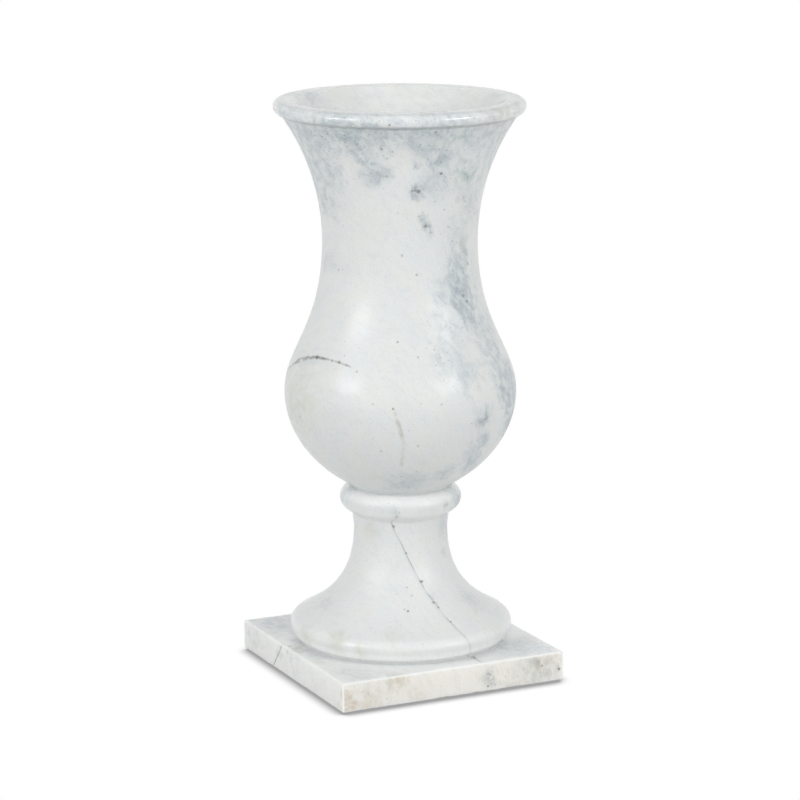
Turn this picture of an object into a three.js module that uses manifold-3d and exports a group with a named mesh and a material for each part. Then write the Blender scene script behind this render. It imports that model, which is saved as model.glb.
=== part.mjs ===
// A marble urn vase on a square plinth, as a stone turner would draw it.
// Millimetres, +Z up. The origin is on the floor, at the middle of the four rubber feet.
//
// Three stones stand on each other: a square plinth, a turned foot with a rounded ring at its top,
// and a turned vessel with a hollow that follows its outside. A steel rod runs up the middle, from a nut
// in the plinth's counterbore to a blind socket in the vessel. Thin beds of stone adhesive fill the joints.

import * as THREE from 'three';
import { RoundedBoxGeometry } from 'three/addons/geometries/RoundedBoxGeometry.js';
import { mergeVertices } from 'three/addons/utils/BufferGeometryUtils.js';
import Module from 'manifold-3d';

const wasm = await Module();
wasm.setup();

// Rubber feet under the plinth
const rubberFootRadius = 9;
const rubberFootHeight = 1.5;
const rubberFootInset = 22; // from the plinth's side to the middle of the foot
const rubberFootEase = 0.5;

// Plinth
const plinthSide = 164.5;
const plinthHeight = 20;
const plinthEase = 1.4;

// Foot, with heights from its own underside
const listelRadius = 69.3;
const listelHeight = 2.3;
const footRadius = 75.7;
const footWidestHeight = 10.7;
const footEdgeRound = 7.1; // radius of the convex edge above the widest point
const footFlareLean = 63; // degrees from the vertical, where the flare meets that edge
const footFlareLowPull = 31.5; // length of the flare curve's lower handle
const footFlareHighPull = 30.1;
const stemRadius = 31.9;
const stemHeight = 78.8; // where the stem is thinnest
const ringRound = 8.6; // radius of the ring's rounded section
const ringRadius = 41.3;
const ringHeight = 99.15;
const ringUnderLean = 55; // degrees from the vertical, of the ring's straight underside
const coveRound = 2.5; // cove where that underside meets the stem
const stemTopRadius = 32.7; // stem under the cove

// Vessel, outside, with heights from its own underside
const baseRadius = 32.2;
const baseSpring = 25.2; // degrees above the horizontal, as the bowl leaves the foot
const bowlLowPull = 28.7;
const bowlHighPull = 28.5;
const bellyRadius = 78.4;
const bellyHeight = 64.9;
const shoulderLowPull = 27.7;
const shoulderHighPull = 57.1;
const neckRadius = 52.2;
const neckHeight = 167;
const flareLowPull = 30.9;
const flareHighPull = 31;
const flareLean = 35.2; // degrees from the vertical, where the flare meets the bead
const rimRadius = 84.3;
const rimHeight = 262.3;
const beadRound = 4.75; // radius of the bead's half-round section

// Vessel, inside
const lipLand = 6.2; // width of the flat on top of the rim
const lipRound = 4;
const mouthLean = 38;
const mouthPull = 30;
const neckWall = 11;
const bellyWall = 14;
const hollowHighPull = 30;
const hollowLowPull = 15;
const floorThickness = 34;
const floorPull = 40;

// Fixing rod and what holds it
const rodRadius = 4;
const rodHoleRadius = 5.5;
const rodEmbedment = 20; // how far the rod enters the vessel
const rodEase = 0.8;
const fittingGap = 0.3; // running gap between separate pieces
const resinThickness = 2.4;
const counterboreRadius = 15;
const counterboreDepth = 13;
const washerRadius = 11;
const washerThickness = 2;
const nutAcrossFlats = 13;
const nutHeight = 6.5;
const rodTail = 2; // rod below the nut

// Beds of stone adhesive
const bedThickness = 0.5;
const bedSetback = 0.3; // how far the adhesive stays back from the joint's edge

// Number of flats that stand for a round
const stoneFlats = 48;
const smallFlats = 24;
const easeFlats = 3; // across an eased arris

const samePoint = 1e-4; // points closer than this are one point

// Where each stone starts, from the floor up
const plinthBottom = rubberFootHeight;
const plinthTop = plinthBottom + plinthHeight;
const footBottom = plinthTop + bedThickness;
const footHeight = ringHeight + ringRound;
const footTop = footBottom + footHeight;
const bodyBottom = footTop + bedThickness;

const socketRadius = rodRadius + fittingGap + resinThickness + fittingGap;
const socketDepth = rodEmbedment + resinThickness + 2 * fittingGap;
const counterboreTop = plinthBottom + counterboreDepth;

const radians = THREE.MathUtils.degToRad;

// A profile is a list of points (radius, height). It is turned about the Z axis.
const at = (radius, height) => new THREE.Vector2(radius, height);

// Points on a circular arc round centre, from one angle to another. Angle 0 points away from the axis.
function arc(centre, radius, from, to, steps) {
  const points = [];
  for (let i = 0; i <= steps; i++) {
    const angle = radians(from + ((to - from) * i) / steps);
    points.push(at(centre.x + radius * Math.cos(angle), centre.y + radius * Math.sin(angle)));
  }
  return points;
}

// Points on a quarter of an ellipse, from (centre.x + width, centre.y) to (centre.x, centre.y - depth).
function quarterBelow(centre, width, depth, steps) {
  const points = [];
  for (let i = 0; i <= steps; i++) {
    const angle = (Math.PI / 2) * (i / steps);
    points.push(at(centre.x + width * Math.cos(angle), centre.y - depth * Math.sin(angle)));
  }
  return points;
}

// Points on a cubic curve that leaves start along one handle and reaches end along the other.
function sweep(start, startHandle, endHandle, end, steps) {
  const first = start.clone().add(startHandle);
  const last = end.clone().add(endHandle);
  return new THREE.CubicBezierCurve(start, first, last, end).getPoints(steps);
}

// A handle of the given length, leaning so many degrees from straight up.
const lean = (length, degrees) =>
  at(length * Math.sin(radians(degrees)), length * Math.cos(radians(degrees)));

// The profile without points that repeat the one before.
function tidy(points) {
  return points.filter((point, i) => i === 0 || point.distanceTo(points[i - 1]) > samePoint);
}

// Turns a profile about Z. Going up the profile, the stone is on the side of the axis.
function turned(profile, flats) {
  return new THREE.LatheGeometry(tidy(profile), flats).rotateX(Math.PI / 2);
}

// A closed mesh as a manifold-3d solid, and back.
function solidOf(geometry) {
  const bare = geometry.clone();
  bare.deleteAttribute('normal');
  bare.deleteAttribute('uv');
  const merged = mergeVertices(bare, samePoint);
  return new wasm.Manifold(
    new wasm.Mesh({
      numProp: 3,
      vertProperties: merged.attributes.position.array,
      triVerts: new Uint32Array(merged.index.array),
    }),
  );
}

function geometryOf(solid) {
  const mesh = solid.getMesh();
  const geometry = new THREE.BufferGeometry();
  geometry.setAttribute('position', new THREE.BufferAttribute(mesh.vertProperties, 3));
  geometry.setIndex(new THREE.BufferAttribute(mesh.triVerts, 1));
  geometry.computeVertexNormals();
  return geometry;
}

// A plain round bar from one height to another, for holes.
function bar(radius, bottom, top) {
  return turned([at(0, bottom), at(radius, bottom), at(radius, top), at(0, top)], smallFlats);
}

// Low bumper with its lower edge eased, resting on the floor.
function rubberFoot() {
  const edge = at(rubberFootRadius - rubberFootEase, rubberFootEase);
  const profile = [
    at(0, 0),
    ...arc(edge, rubberFootEase, -90, 0, easeFlats),
    at(rubberFootRadius, rubberFootHeight),
    at(0, rubberFootHeight),
  ];
  return turned(profile, smallFlats);
}

// Square slab with eased arrises, the rod's hole and the nut's counterbore from below.
function plinth() {
  const slab = new RoundedBoxGeometry(plinthSide, plinthSide, plinthHeight, easeFlats, plinthEase);
  slab.translate(0, 0, plinthBottom + plinthHeight / 2);
  const overrun = plinthEase; // the cutting bars run past the faces that they cut
  const hole = bar(rodHoleRadius, plinthBottom - overrun, plinthTop + overrun);
  const counterbore = bar(counterboreRadius, plinthBottom - overrun, counterboreTop);
  return geometryOf(solidOf(slab).subtract(solidOf(hole)).subtract(solidOf(counterbore)));
}

// The cove at the top of the stem, for a straight underside that runs down and in from ringStart.
function coveUnder(ringStart) {
  const slope = radians(ringUnderLean);
  const coveWidth = coveRound * (1 - Math.cos(slope));
  const run = ringStart.x - stemTopRadius - coveWidth;
  const coveTop = ringStart.y - run / Math.tan(slope);
  const centre = at(stemTopRadius + coveRound, coveTop - coveRound * Math.sin(slope));
  return arc(centre, coveRound, 180, 180 - ringUnderLean, 3);
}

// Foot: a small listel, an undercut and a rounded edge, then the flare up to the stem and the ring.
function foot() {
  const widest = at(footRadius - footEdgeRound, footWidestHeight);
  const undercut = quarterBelow(
    at(listelRadius, footWidestHeight),
    footRadius - listelRadius,
    footWidestHeight - listelHeight,
    5,
  ).reverse();
  const edge = arc(widest, footEdgeRound, 0, footFlareLean, 5);
  const flare = sweep(
    edge.at(-1),
    lean(footFlareLowPull, -footFlareLean),
    lean(-footFlareHighPull, 0),
    at(stemRadius, stemHeight),
    10,
  );
  const ringCentre = at(ringRadius - ringRound, ringHeight);
  const ring = arc(ringCentre, ringRound, -ringUnderLean, 90, 9);
  const cove = coveUnder(ring[0]);
  const stemRise = (cove[0].y - stemHeight) / 3;
  const stem = sweep(flare.at(-1), lean(stemRise, 0), at(0, -stemRise), cove[0], 3);
  const profile = [
    at(rodHoleRadius, 0),
    at(listelRadius, 0),
    at(listelRadius, listelHeight),
    ...undercut,
    ...edge,
    ...flare,
    ...stem,
    ...cove,
    ...ring,
    at(rodHoleRadius, footHeight),
    at(rodHoleRadius, 0),
  ];
  return turned(profile, stoneFlats).translate(0, 0, footBottom);
}

// Outside of the vessel, from its underside to the inner end of the flat on the rim.
function vesselOutside() {
  const bead = at(rimRadius - beadRound, rimHeight - beadRound);
  const belly = at(bellyRadius, bellyHeight);
  const neck = at(neckRadius, neckHeight);
  const beadArc = arc(bead, beadRound, -90, 90, 8);
  return [
    ...sweep(at(baseRadius, 0), lean(bowlLowPull, 90 - baseSpring), lean(-bowlHighPull, 0), belly, 10),
    ...sweep(belly, lean(shoulderLowPull, 0), lean(-shoulderHighPull, 0), neck, 11),
    ...sweep(neck, lean(flareLowPull, 0), lean(-flareHighPull, flareLean), beadArc[0], 9),
    ...beadArc,
    at(bead.x - lipLand, rimHeight),
  ];
}

// Inside of the vessel, from the rounded lip down to the middle of the floor.
function vesselInside() {
  const lip = at(rimRadius - beadRound - lipLand, rimHeight - lipRound);
  const lipArc = arc(lip, lipRound, 90, 180 - mouthLean, 4);
  const neck = at(neckRadius - neckWall, neckHeight);
  const belly = at(bellyRadius - bellyWall, bellyHeight);
  return [
    ...lipArc,
    ...sweep(lipArc.at(-1), lean(-mouthPull, mouthLean), lean(mouthPull, 0), neck, 7),
    ...sweep(neck, lean(-shoulderHighPull, 0), lean(hollowHighPull, 0), belly, 8),
    ...sweep(belly, lean(-hollowLowPull, 0), at(floorPull, 0), at(0, floorThickness), 7),
  ];
}

// Vessel: the blind socket for the rod, the outside and the hollow, in one closed profile.
function vaseBody() {
  const profile = [
    at(0, socketDepth),
    at(socketRadius, socketDepth),
    at(socketRadius, 0),
    ...vesselOutside(),
    ...vesselInside(),
  ];
  return turned(profile, stoneFlats).translate(0, 0, bodyBottom);
}

// Disc of adhesive with the rod's hole, wiped almost flush with the joint's edge.
function bed(jointRadius, bottom) {
  const outer = jointRadius - bedSetback;
  const profile = [
    at(rodHoleRadius, 0),
    at(outer, 0),
    at(outer, bedThickness),
    at(rodHoleRadius, bedThickness),
    at(rodHoleRadius, 0),
  ];
  return turned(profile, stoneFlats).translate(0, 0, bottom);
}

// Steel rod with chamfered ends, from below the nut to near the top of the socket.
const rodBottom = counterboreTop - washerThickness - nutHeight - rodTail;
const rodTop = bodyBottom + rodEmbedment;

function tieRod() {
  const profile = [
    at(0, rodBottom),
    at(rodRadius - rodEase, rodBottom),
    at(rodRadius, rodBottom + rodEase),
    at(rodRadius, rodTop - rodEase),
    at(rodRadius - rodEase, rodTop),
    at(0, rodTop),
  ];
  return turned(profile, smallFlats);
}

// Cup of resin round the rod's top end. It fills the socket but for the gaps.
function socketResin() {
  const inner = rodRadius + fittingGap;
  const outer = inner + resinThickness;
  const ceiling = rodTop + fittingGap;
  const profile = [
    at(0, ceiling),
    at(inner, ceiling),
    at(inner, bodyBottom + fittingGap),
    at(outer, bodyBottom + fittingGap),
    at(outer, ceiling + resinThickness),
    at(0, ceiling + resinThickness),
  ];
  return turned(profile, smallFlats);
}

// Flat washer against the counterbore's ceiling.
function rodWasher() {
  const hole = rodRadius + fittingGap;
  const bottom = counterboreTop - washerThickness;
  const profile = [
    at(hole, bottom),
    at(washerRadius, bottom),
    at(washerRadius, counterboreTop),
    at(hole, counterboreTop),
    at(hole, bottom),
  ];
  return turned(profile, smallFlats);
}

// Hexagon nut against the washer.
function rodNut() {
  const corner = nutAcrossFlats / 2 / Math.cos(Math.PI / 6);
  const hexagon = new THREE.Shape();
  for (let i = 0; i < 6; i++) {
    const angle = (Math.PI / 3) * i;
    hexagon[i ? 'lineTo' : 'moveTo'](corner * Math.cos(angle), corner * Math.sin(angle));
  }
  hexagon.closePath();
  hexagon.holes.push(new THREE.Path().absarc(0, 0, rodRadius + fittingGap, 0, 2 * Math.PI, true));
  const straight = { depth: nutHeight, bevelEnabled: false, curveSegments: smallFlats };
  const nut = new THREE.ExtrudeGeometry(hexagon, straight);
  return nut.translate(0, 0, counterboreTop - washerThickness - nutHeight);
}

// Finishes
const finish = (color, roughness, metalness = 0) =>
  new THREE.MeshStandardMaterial({ color, roughness, metalness });
const polishedMarble = () => finish(0xe2e4e4, 0.28);
const sawnMarble = () => finish(0xe4e1dc, 0.45);
const adhesive = () => finish(0xd8d6cf, 0.7);
const zincSteel = () => finish(0xb4b6b8, 0.35, 1);
const blackRubber = () => finish(0x2a2a2b, 0.85);

const urn = new THREE.Group();

function add(name, geometry, material, x = 0, y = 0) {
  const mesh = new THREE.Mesh(geometry, material);
  mesh.name = name;
  mesh.position.set(x, y, 0);
  urn.add(mesh);
}

add('vase_body', vaseBody(), polishedMarble());
add('foot', foot(), polishedMarble());
add('plinth', plinth(), sawnMarble());
add('upper_bed', bed(Math.min(baseRadius, ringRadius - ringRound), footTop), adhesive());
add('lower_bed', bed(listelRadius, plinthTop), adhesive());
add('tie_rod', tieRod(), zincSteel());
add('socket_resin', socketResin(), adhesive());
add('rod_washer', rodWasher(), zincSteel());
add('rod_nut', rodNut(), zincSteel());

// One rubber foot near each corner of the plinth, counted anticlockwise from +X +Y
const rubberFootOffset = plinthSide / 2 - rubberFootInset;
for (let corner = 0; corner < 4; corner++) {
  const angle = radians(45 + 90 * corner);
  const x = rubberFootOffset * Math.sign(Math.cos(angle));
  const y = rubberFootOffset * Math.sign(Math.sin(angle));
  add(`rubber_foot_${corner + 1}`, rubberFoot(), blackRubber(), x, y);
}

export default urn;
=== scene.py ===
# %% [markdown]
# A marble urn vase on a square plinth.
#
# Three stones stand on each other: a square plinth, a turned foot with a rounded ring at its top, and
# a turned vessel with a flared mouth. A steel rod under the plinth pulls them together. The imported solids
# give every stone its place and size. This script gives each piece its fine surface and its finish.

import math

import bpy
import numpy as np
from mathutils import Matrix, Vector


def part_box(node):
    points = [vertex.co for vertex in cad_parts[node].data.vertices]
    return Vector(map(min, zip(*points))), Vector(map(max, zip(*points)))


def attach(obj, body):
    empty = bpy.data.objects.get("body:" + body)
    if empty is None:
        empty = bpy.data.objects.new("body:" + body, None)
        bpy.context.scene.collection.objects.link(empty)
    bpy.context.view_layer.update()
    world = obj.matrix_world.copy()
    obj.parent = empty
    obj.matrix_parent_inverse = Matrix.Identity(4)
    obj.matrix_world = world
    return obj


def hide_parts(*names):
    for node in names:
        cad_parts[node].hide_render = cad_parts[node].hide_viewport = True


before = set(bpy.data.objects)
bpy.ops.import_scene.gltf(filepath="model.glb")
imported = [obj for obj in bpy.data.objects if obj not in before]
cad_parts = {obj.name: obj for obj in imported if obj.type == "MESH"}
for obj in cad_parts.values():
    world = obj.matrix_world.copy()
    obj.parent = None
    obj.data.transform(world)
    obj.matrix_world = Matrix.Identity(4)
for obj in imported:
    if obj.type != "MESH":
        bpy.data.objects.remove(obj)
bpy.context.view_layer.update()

MM = 0.001  # lengths below are in millimetres, and meshes are made in metres


def span(node_name):
    """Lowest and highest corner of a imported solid, in millimetres."""
    low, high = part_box(node_name)
    return np.array(low) / MM, np.array(high) / MM


# %% [markdown]
# The camera. The photograph was taken with a long lens from a little above the rim. A long lens keeps
# the plinth's edges nearly parallel, so the distance matters as much as the angle. The camera is placed by
# its distance from the axis, its height, and the turn round the urn, and it looks down a little.

# %%
# Camera
camera_turn = math.radians(25.82)  # from the middle of the plinth's front side, towards its left corner
camera_distance = 2121.2
camera_height = 665.85
camera_pitch = math.radians(12.71)
camera_roll = math.radians(-0.14)
sensor_width = 36.0
focal_length = 144.6
frame_shift = -0.0004  # the urn stands a quarter of a pixel to the right

camera_data = bpy.data.cameras.new("camera")
camera_data.sensor_width = sensor_width
camera_data.lens = focal_length
camera_data.shift_x = frame_shift
camera_data.clip_start = 0.05
camera_data.clip_end = 50
camera = bpy.data.objects.new("camera", camera_data)
camera.matrix_world = (
    Matrix.Rotation(-camera_turn, 4, "Z")
    @ Matrix.Translation((0, -camera_distance * MM, camera_height * MM))
    @ Matrix.Rotation(math.pi / 2 - camera_pitch, 4, "X")
    @ Matrix.Rotation(camera_roll, 4, "Z")
)
bpy.context.scene.collection.objects.link(camera)
bpy.context.scene.camera = camera
print("camera at", tuple(round(v, 3) for v in camera.location))

# %% [markdown]
# A turned stone is a profile carried round the axis. The profile is a list of points (radius, height),
# drawn as a turner would draw it: arcs for beads and edges, and smooth curves with a handle at each end for
# the long sweeps. Going up the profile, the stone is on the side of the axis, so the faces point out.


# %%
# Curves for profiles
same_point = 1e-5  # points nearer to each other than this count as one


def sweep(start, start_handle, end_handle, end, steps):
    """Cubic curve: (1-t)^3 start + 3(1-t)^2 t first + 3(1-t) t^2 last + t^3 end, where first and last
    are the ends moved by their handles."""
    t = np.linspace(0, 1, steps + 1)[:, None]
    start, end = np.array(start, float), np.array(end, float)
    first, last = start + start_handle, end + end_handle
    return (1 - t) ** 3 * start + 3 * (1 - t) ** 2 * t * first + 3 * (1 - t) * t**2 * last + t**3 * end


def arc(centre, radius, start, stop, steps):
    """Points centre + radius (cos a, sin a), for a from start to stop in degrees. 0 is away from the axis."""
    a = np.radians(np.linspace(start, stop, steps + 1))
    return np.column_stack([centre[0] + radius * np.cos(a), centre[1] + radius * np.sin(a)])


def lean(length, degrees):
    """A handle of that length, leaning so many degrees from straight up."""
    return np.array([length * math.sin(math.radians(degrees)), length * math.cos(math.radians(degrees))])


def joined(*parts):
    """The parts as one profile, without points that repeat the one before."""
    points = np.vstack([np.atleast_2d(part) for part in parts])
    moved = np.hypot(*np.diff(points, axis=0).T) > same_point
    return points[np.concatenate([[True], moved])]


# %%
# From a grid of points to a mesh
def mesh_object(name, points, faces, sharp_degrees=35):
    """A mesh from points in millimetres and faces, shaded smooth but for edges sharper than the angle."""
    mesh = bpy.data.meshes.new(name)
    mesh.from_pydata((points * MM).tolist(), [], faces)
    mesh.shade_smooth()
    mesh.set_sharp_from_angle(angle=math.radians(sharp_degrees))
    mesh.update()
    piece = bpy.data.objects.new(name, mesh)
    bpy.context.scene.collection.objects.link(piece)
    return piece


def grid_faces(rows, columns, closed_rows):
    """Four-sided faces between neighbouring rows and columns. The columns close on themselves, and the rows
    do too if closed_rows is true."""
    row = np.arange(rows if closed_rows else rows - 1)[:, None]
    column = np.arange(columns)[None, :]
    next_row, next_column = (row + 1) % rows, (column + 1) % columns
    corners = [
        row * columns + column,
        row * columns + next_column,
        next_row * columns + next_column,
        next_row * columns + column,
    ]
    return np.stack(corners, -1).reshape(-1, 4)


def turned(profile, turns, ripple=None):
    """Point (i, j) is (r cos a, r sin a, z), for point i of the profile and a = 2 pi j / turns. ripple, if
    given, takes the angle and the height and gives a length that is taken off the radius."""
    angle = 2 * np.pi * np.arange(turns) / turns
    radius, height = profile[:, 0][:, None], profile[:, 1][:, None]
    if ripple is not None:
        radius = np.maximum(radius - ripple(angle[None, :], height) * (radius > 1), 0)
    x, y = radius * np.cos(angle), radius * np.sin(angle)
    return np.stack([x, y, height + 0 * x], -1)


def capped_mesh(name, rings, first_height, last_height, sharp_degrees=35):
    """A surface through rings of points round the axis. At each end a fan of triangles closes it, round one
    point on the axis at the height given."""
    count, turns = rings.shape[:2]
    points = np.vstack([rings.reshape(-1, 3), [[0, 0, first_height], [0, 0, last_height]]])
    j = np.arange(turns)
    after = (j + 1) % turns
    top = (count - 1) * turns
    faces = grid_faces(count, turns, False).tolist()
    faces += np.column_stack([after, j, np.full(turns, count * turns)]).tolist()
    faces += np.column_stack([top + j, top + after, np.full(turns, count * turns + 1)]).tolist()
    return mesh_object(name, points, faces, sharp_degrees)


def turned_piece(name, profile, turns=256, closed=False, ripple=None):
    """A turned solid. A closed profile makes a ring. An open one starts and ends on the axis."""
    if closed:
        points = turned(profile, turns, ripple).reshape(-1, 3)
        return mesh_object(name, points, grid_faces(len(profile), turns, True).tolist())
    return capped_mesh(name, turned(profile[1:-1], turns, ripple), profile[0, 1], profile[-1, 1])


# %% [markdown]
# The vessel. Its outside rises from the bowl through the waist to the flare and ends in a half-round bead.
# The hollow follows the outside with a wall of about 11 to 14 millimetres. The stone was turned, so one
# profile makes it all: the blind socket for the rod, the outside, the lip and the hollow. A turner's long
# sweeps are never quite true, so a slow ripple, less than a tenth of a millimetre deep, goes round and up
# the stone. It keeps the reflections from looking machine made.

# %%
# The vessel's sizes
body_low, body_high = span("vase_body")
body_bottom = body_low[2]
rim_radius = body_high[0]
rim_height = body_high[2] - body_bottom

base_radius = 32.2
base_ease = 0.3  # eased edge round the vessel's underside
base_spring = 25.2  # degrees above the horizontal, as the bowl leaves the foot
belly_radius, belly_height = 78.4, 64.9
neck_radius, neck_height = 52.2, 167.0
bowl_pulls = (28.7, 28.5)
shoulder_pulls = (27.7, 57.1)
flare_pulls = (30.9, 31.0)
flare_lean = 35.2  # degrees from the vertical, where the flare meets the bead
bead_round = 4.75

lip_land = 6.2
lip_round = 4.0
mouth_lean, mouth_pull = 38.0, 30.0
neck_wall, belly_wall = 11.0, 14.0
hollow_pulls = (30.0, 15.0)
floor_thickness, floor_pull = 34.0, 40.0
socket_radius, socket_depth = 7.0, 23.0
print("vessel:", round(rim_height, 1), "mm tall and", round(2 * rim_radius, 1), "mm across the rim")


# %%
# The vessel's outside and hollow
def vessel_outside():
    """From the underside up: an eased edge, then the bowl, the shoulder and the flare as sweeps that run
    upright where they meet, at the belly and the neck, then half a circle for the bead, and the flat lip."""
    bead = (rim_radius - bead_round, rim_height - bead_round)
    belly, neck = (belly_radius, belly_height), (neck_radius, neck_height)
    bead_arc = arc(bead, bead_round, -90, 90, steps=48)
    spring = lean(1, 90 - base_spring)
    start = np.array([base_radius, 0]) + spring * base_ease
    return joined(
        (base_radius - base_ease, 0),
        sweep((base_radius - base_ease, 0), (base_ease / 2, 0), -spring * base_ease / 2, start, steps=4),
        sweep(start, lean(bowl_pulls[0], 90 - base_spring), lean(-bowl_pulls[1], 0), belly, steps=44),
        sweep(belly, lean(shoulder_pulls[0], 0), lean(-shoulder_pulls[1], 0), neck, steps=50),
        sweep(neck, lean(flare_pulls[0], 0), lean(-flare_pulls[1], flare_lean), bead_arc[0], steps=46),
        bead_arc,
        (bead[0] - lip_land, rim_height),
    )


def vessel_inside():
    """From the lip down: an arc over the lip, then sweeps down the mouth and the belly to the floor."""
    lip = (rim_radius - bead_round - lip_land, rim_height - lip_round)
    lip_arc = arc(lip, lip_round, 90, 180 - mouth_lean, steps=16)
    neck = (neck_radius - neck_wall, neck_height)
    belly = (belly_radius - belly_wall, belly_height)
    return joined(
        lip_arc,
        sweep(lip_arc[-1], lean(-mouth_pull, mouth_lean), lean(mouth_pull, 0), neck, steps=34),
        sweep(neck, lean(-shoulder_pulls[1], 0), lean(hollow_pulls[0], 0), belly, steps=40),
        sweep(belly, lean(-hollow_pulls[1], 0), (floor_pull, 0), (0, floor_thickness), steps=40),
    )


# %%
# The turner's ripple, and the vessel
ripple_height = 0.016  # of each of the ripple's three waves


def hand_ripple(angle, height):
    """The height of a wave x (three sines of the angle and the height, added up, + 3), so never below 0."""
    wave = np.sin(3 * angle + height / 31) + np.sin(5 * angle - height / 17) + np.sin(2 * angle + height / 9)
    return ripple_height * (wave + 3)


socket = [(0, socket_depth), (socket_radius, socket_depth), (socket_radius, 0)]
vessel_profile = joined(socket, vessel_outside(), vessel_inside()) + [0, body_bottom]
vessel = turned_piece("vessel", vessel_profile, ripple=hand_ripple)
print("vessel:", len(vessel.data.polygons), "faces")

# %% [markdown]
# The foot. It stands on a small listel, cut back under a rounded edge, which leaves the thin dark line that
# the photograph shows under the foot. Above it the stone sweeps up to the stem and ends in the ring.

# %%
# The foot's sizes
foot_low, foot_high = span("foot")
foot_bottom = foot_low[2]
foot_height = foot_high[2] - foot_bottom
foot_radius = foot_high[0]

rod_radius = span("tie_rod")[1][0]
rod_clearance = 1.5  # round the rod in the foot and the plinth
rod_hole_radius = rod_radius + rod_clearance
listel_radius, listel_height = 69.3, 2.3
foot_widest_height = 10.7
foot_edge_round = 7.1
foot_flare_lean = 63.0
foot_flare_pulls = (31.5, 30.1)
stem_radius, stem_height = 31.9, 78.8
ring_round = 8.6
ring_radius, ring_height = 41.3, 99.15
ring_under_lean = 55.0  # degrees from the vertical, of the ring's straight underside
cove_round = 2.5  # cove where that underside meets the stem
stem_top_radius = 32.7
listel_ease = 0.3
print("foot:", round(foot_height, 1), "mm tall and", round(2 * foot_radius, 1), "mm across")


# %%
# The foot's profile
def cove_under(ring_start):
    """The cove at the top of the stem, for a straight underside that runs down and in from ring_start."""
    slope = math.radians(ring_under_lean)
    run = ring_start[0] - stem_top_radius - cove_round * (1 - math.cos(slope))
    cove_top = ring_start[1] - run / math.tan(slope)
    centre = (stem_top_radius + cove_round, cove_top - cove_round * math.sin(slope))
    return arc(centre, cove_round, 180, 180 - ring_under_lean, steps=12)


def foot_profile():
    """From the rod's hole out and up: the listel, an undercut that is a quarter of an ellipse, the round
    edge, the flare, the stem with its cove, the ring and the flat top."""
    widest = (foot_radius - foot_edge_round, foot_widest_height)
    edge = arc(widest, foot_edge_round, 0, foot_flare_lean, steps=30)
    a = np.linspace(np.pi / 2, 0, 31)
    undercut_radius = listel_radius + (foot_radius - listel_radius) * np.cos(a)
    undercut_height = foot_widest_height - (foot_widest_height - listel_height) * np.sin(a)
    stem = (stem_radius, stem_height)
    low_pull, high_pull = lean(foot_flare_pulls[0], -foot_flare_lean), lean(-foot_flare_pulls[1], 0)
    ring = arc((ring_radius - ring_round, ring_height), ring_round, -ring_under_lean, 90, steps=52)
    cove = cove_under(ring[0])
    rise = (cove[0][1] - stem_height) / 3
    return joined(
        (rod_hole_radius, 0),
        (listel_radius - listel_ease, 0),
        (listel_radius, listel_ease),
        (listel_radius, listel_height),
        np.column_stack([undercut_radius, undercut_height]),
        edge,
        sweep(edge[-1], low_pull, high_pull, stem, steps=56),
        sweep(stem, lean(rise, 0), (0, -rise), cove[0], steps=10),
        cove,
        ring,
        (rod_hole_radius, foot_height),
    )


foot = turned_piece("foot_stone", foot_profile() + [0, foot_bottom], closed=True, ripple=hand_ripple)
print("foot:", len(foot.data.polygons), "faces")

# %% [markdown]
# The plinth is a square slab with a hole and a counterbore, sawn at its sides and honed on top. One grid
# makes it. Its rings of points run from the hole across the counterbore's ceiling and down to the underside,
# out to the sides, up them, and in over the top, back to the hole. The inner rings are circles, the outer
# ones squares with eased corners, and between them one fades into the other. Fine noise then takes a little
# stone off the sawn sides and chips the arrises.


# %%
# Noise on points, for stone that isn't quite true
AXIS_FACTORS = (374761393, 668265263, 2147483647)  # large odd numbers, which mix well
SEED_FACTOR = 974711
MIXING_STEPS = ((13, 1274126177), (16, 1103515245))  # how far to shift, and what to multiply by
LARGEST = 0x7FFFFFFF


def lattice_values(cells, seed):
    """A repeatable value from 0 to 1 for each whole-number cell, mixed from its three numbers."""
    mixed = (cells * np.array(AXIS_FACTORS)).sum(-1) + seed * SEED_FACTOR
    for shift, factor in MIXING_STEPS:
        mixed = (mixed ^ (mixed >> shift)) * factor & LARGEST
    return mixed / LARGEST


def noise(points, pitch, seed):
    """Smooth noise from 0 to 1: the values of the eight cell corners round a point, faded into each other."""
    place = points / pitch
    cell = np.floor(place).astype(np.int64)
    part = place - cell
    part = part * part * (3 - 2 * part)
    total = np.zeros(points.shape[:-1])
    for corner in np.ndindex(2, 2, 2):
        near = np.where(np.array(corner) == 1, part, 1 - part).prod(-1)
        total += near * lattice_values(cell + np.array(corner), seed)
    return total


# %%
# The plinth's sizes
plinth_low, plinth_high = span("plinth")
plinth_half = plinth_high[0]
plinth_bottom, plinth_top = plinth_low[2], plinth_high[2]

plinth_ease = 1.1  # radius of the arrises, worn by the noise
corner_round = 0.8
counterbore_radius, counterbore_depth = 15.0, 13.0
counterbore_ease = 0.4
edge_guard = 0.3  # a ring this near an edge keeps the shading crisp
side_pitch = 1.15  # distance between points along a side
print("plinth:", round(2 * plinth_half, 1), "mm square and", round(plinth_top - plinth_bottom, 1), "mm thick")


# %%
# The plinth's outline
def square_ring():
    """Points round a square with eased corners. A quarter of it is the side that faces +X and the corner
    after it, and the other three are that quarter turned."""
    straight = plinth_half - corner_round
    along = np.linspace(-straight, straight, int(2 * straight / side_pitch) + 1)
    turn = np.radians(np.linspace(0, 90, 8))[1:-1]
    side = np.column_stack([np.full(len(along), plinth_half), along])
    corner = straight + corner_round * np.column_stack([np.cos(turn), np.sin(turn)])
    quarter = np.vstack([side, corner])
    quarters = []
    for a in np.arange(4) * np.pi / 2:
        quarters.append(quarter @ np.array([[math.cos(a), math.sin(a)], [-math.sin(a), math.cos(a)]]))
    return np.vstack(quarters)


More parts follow.
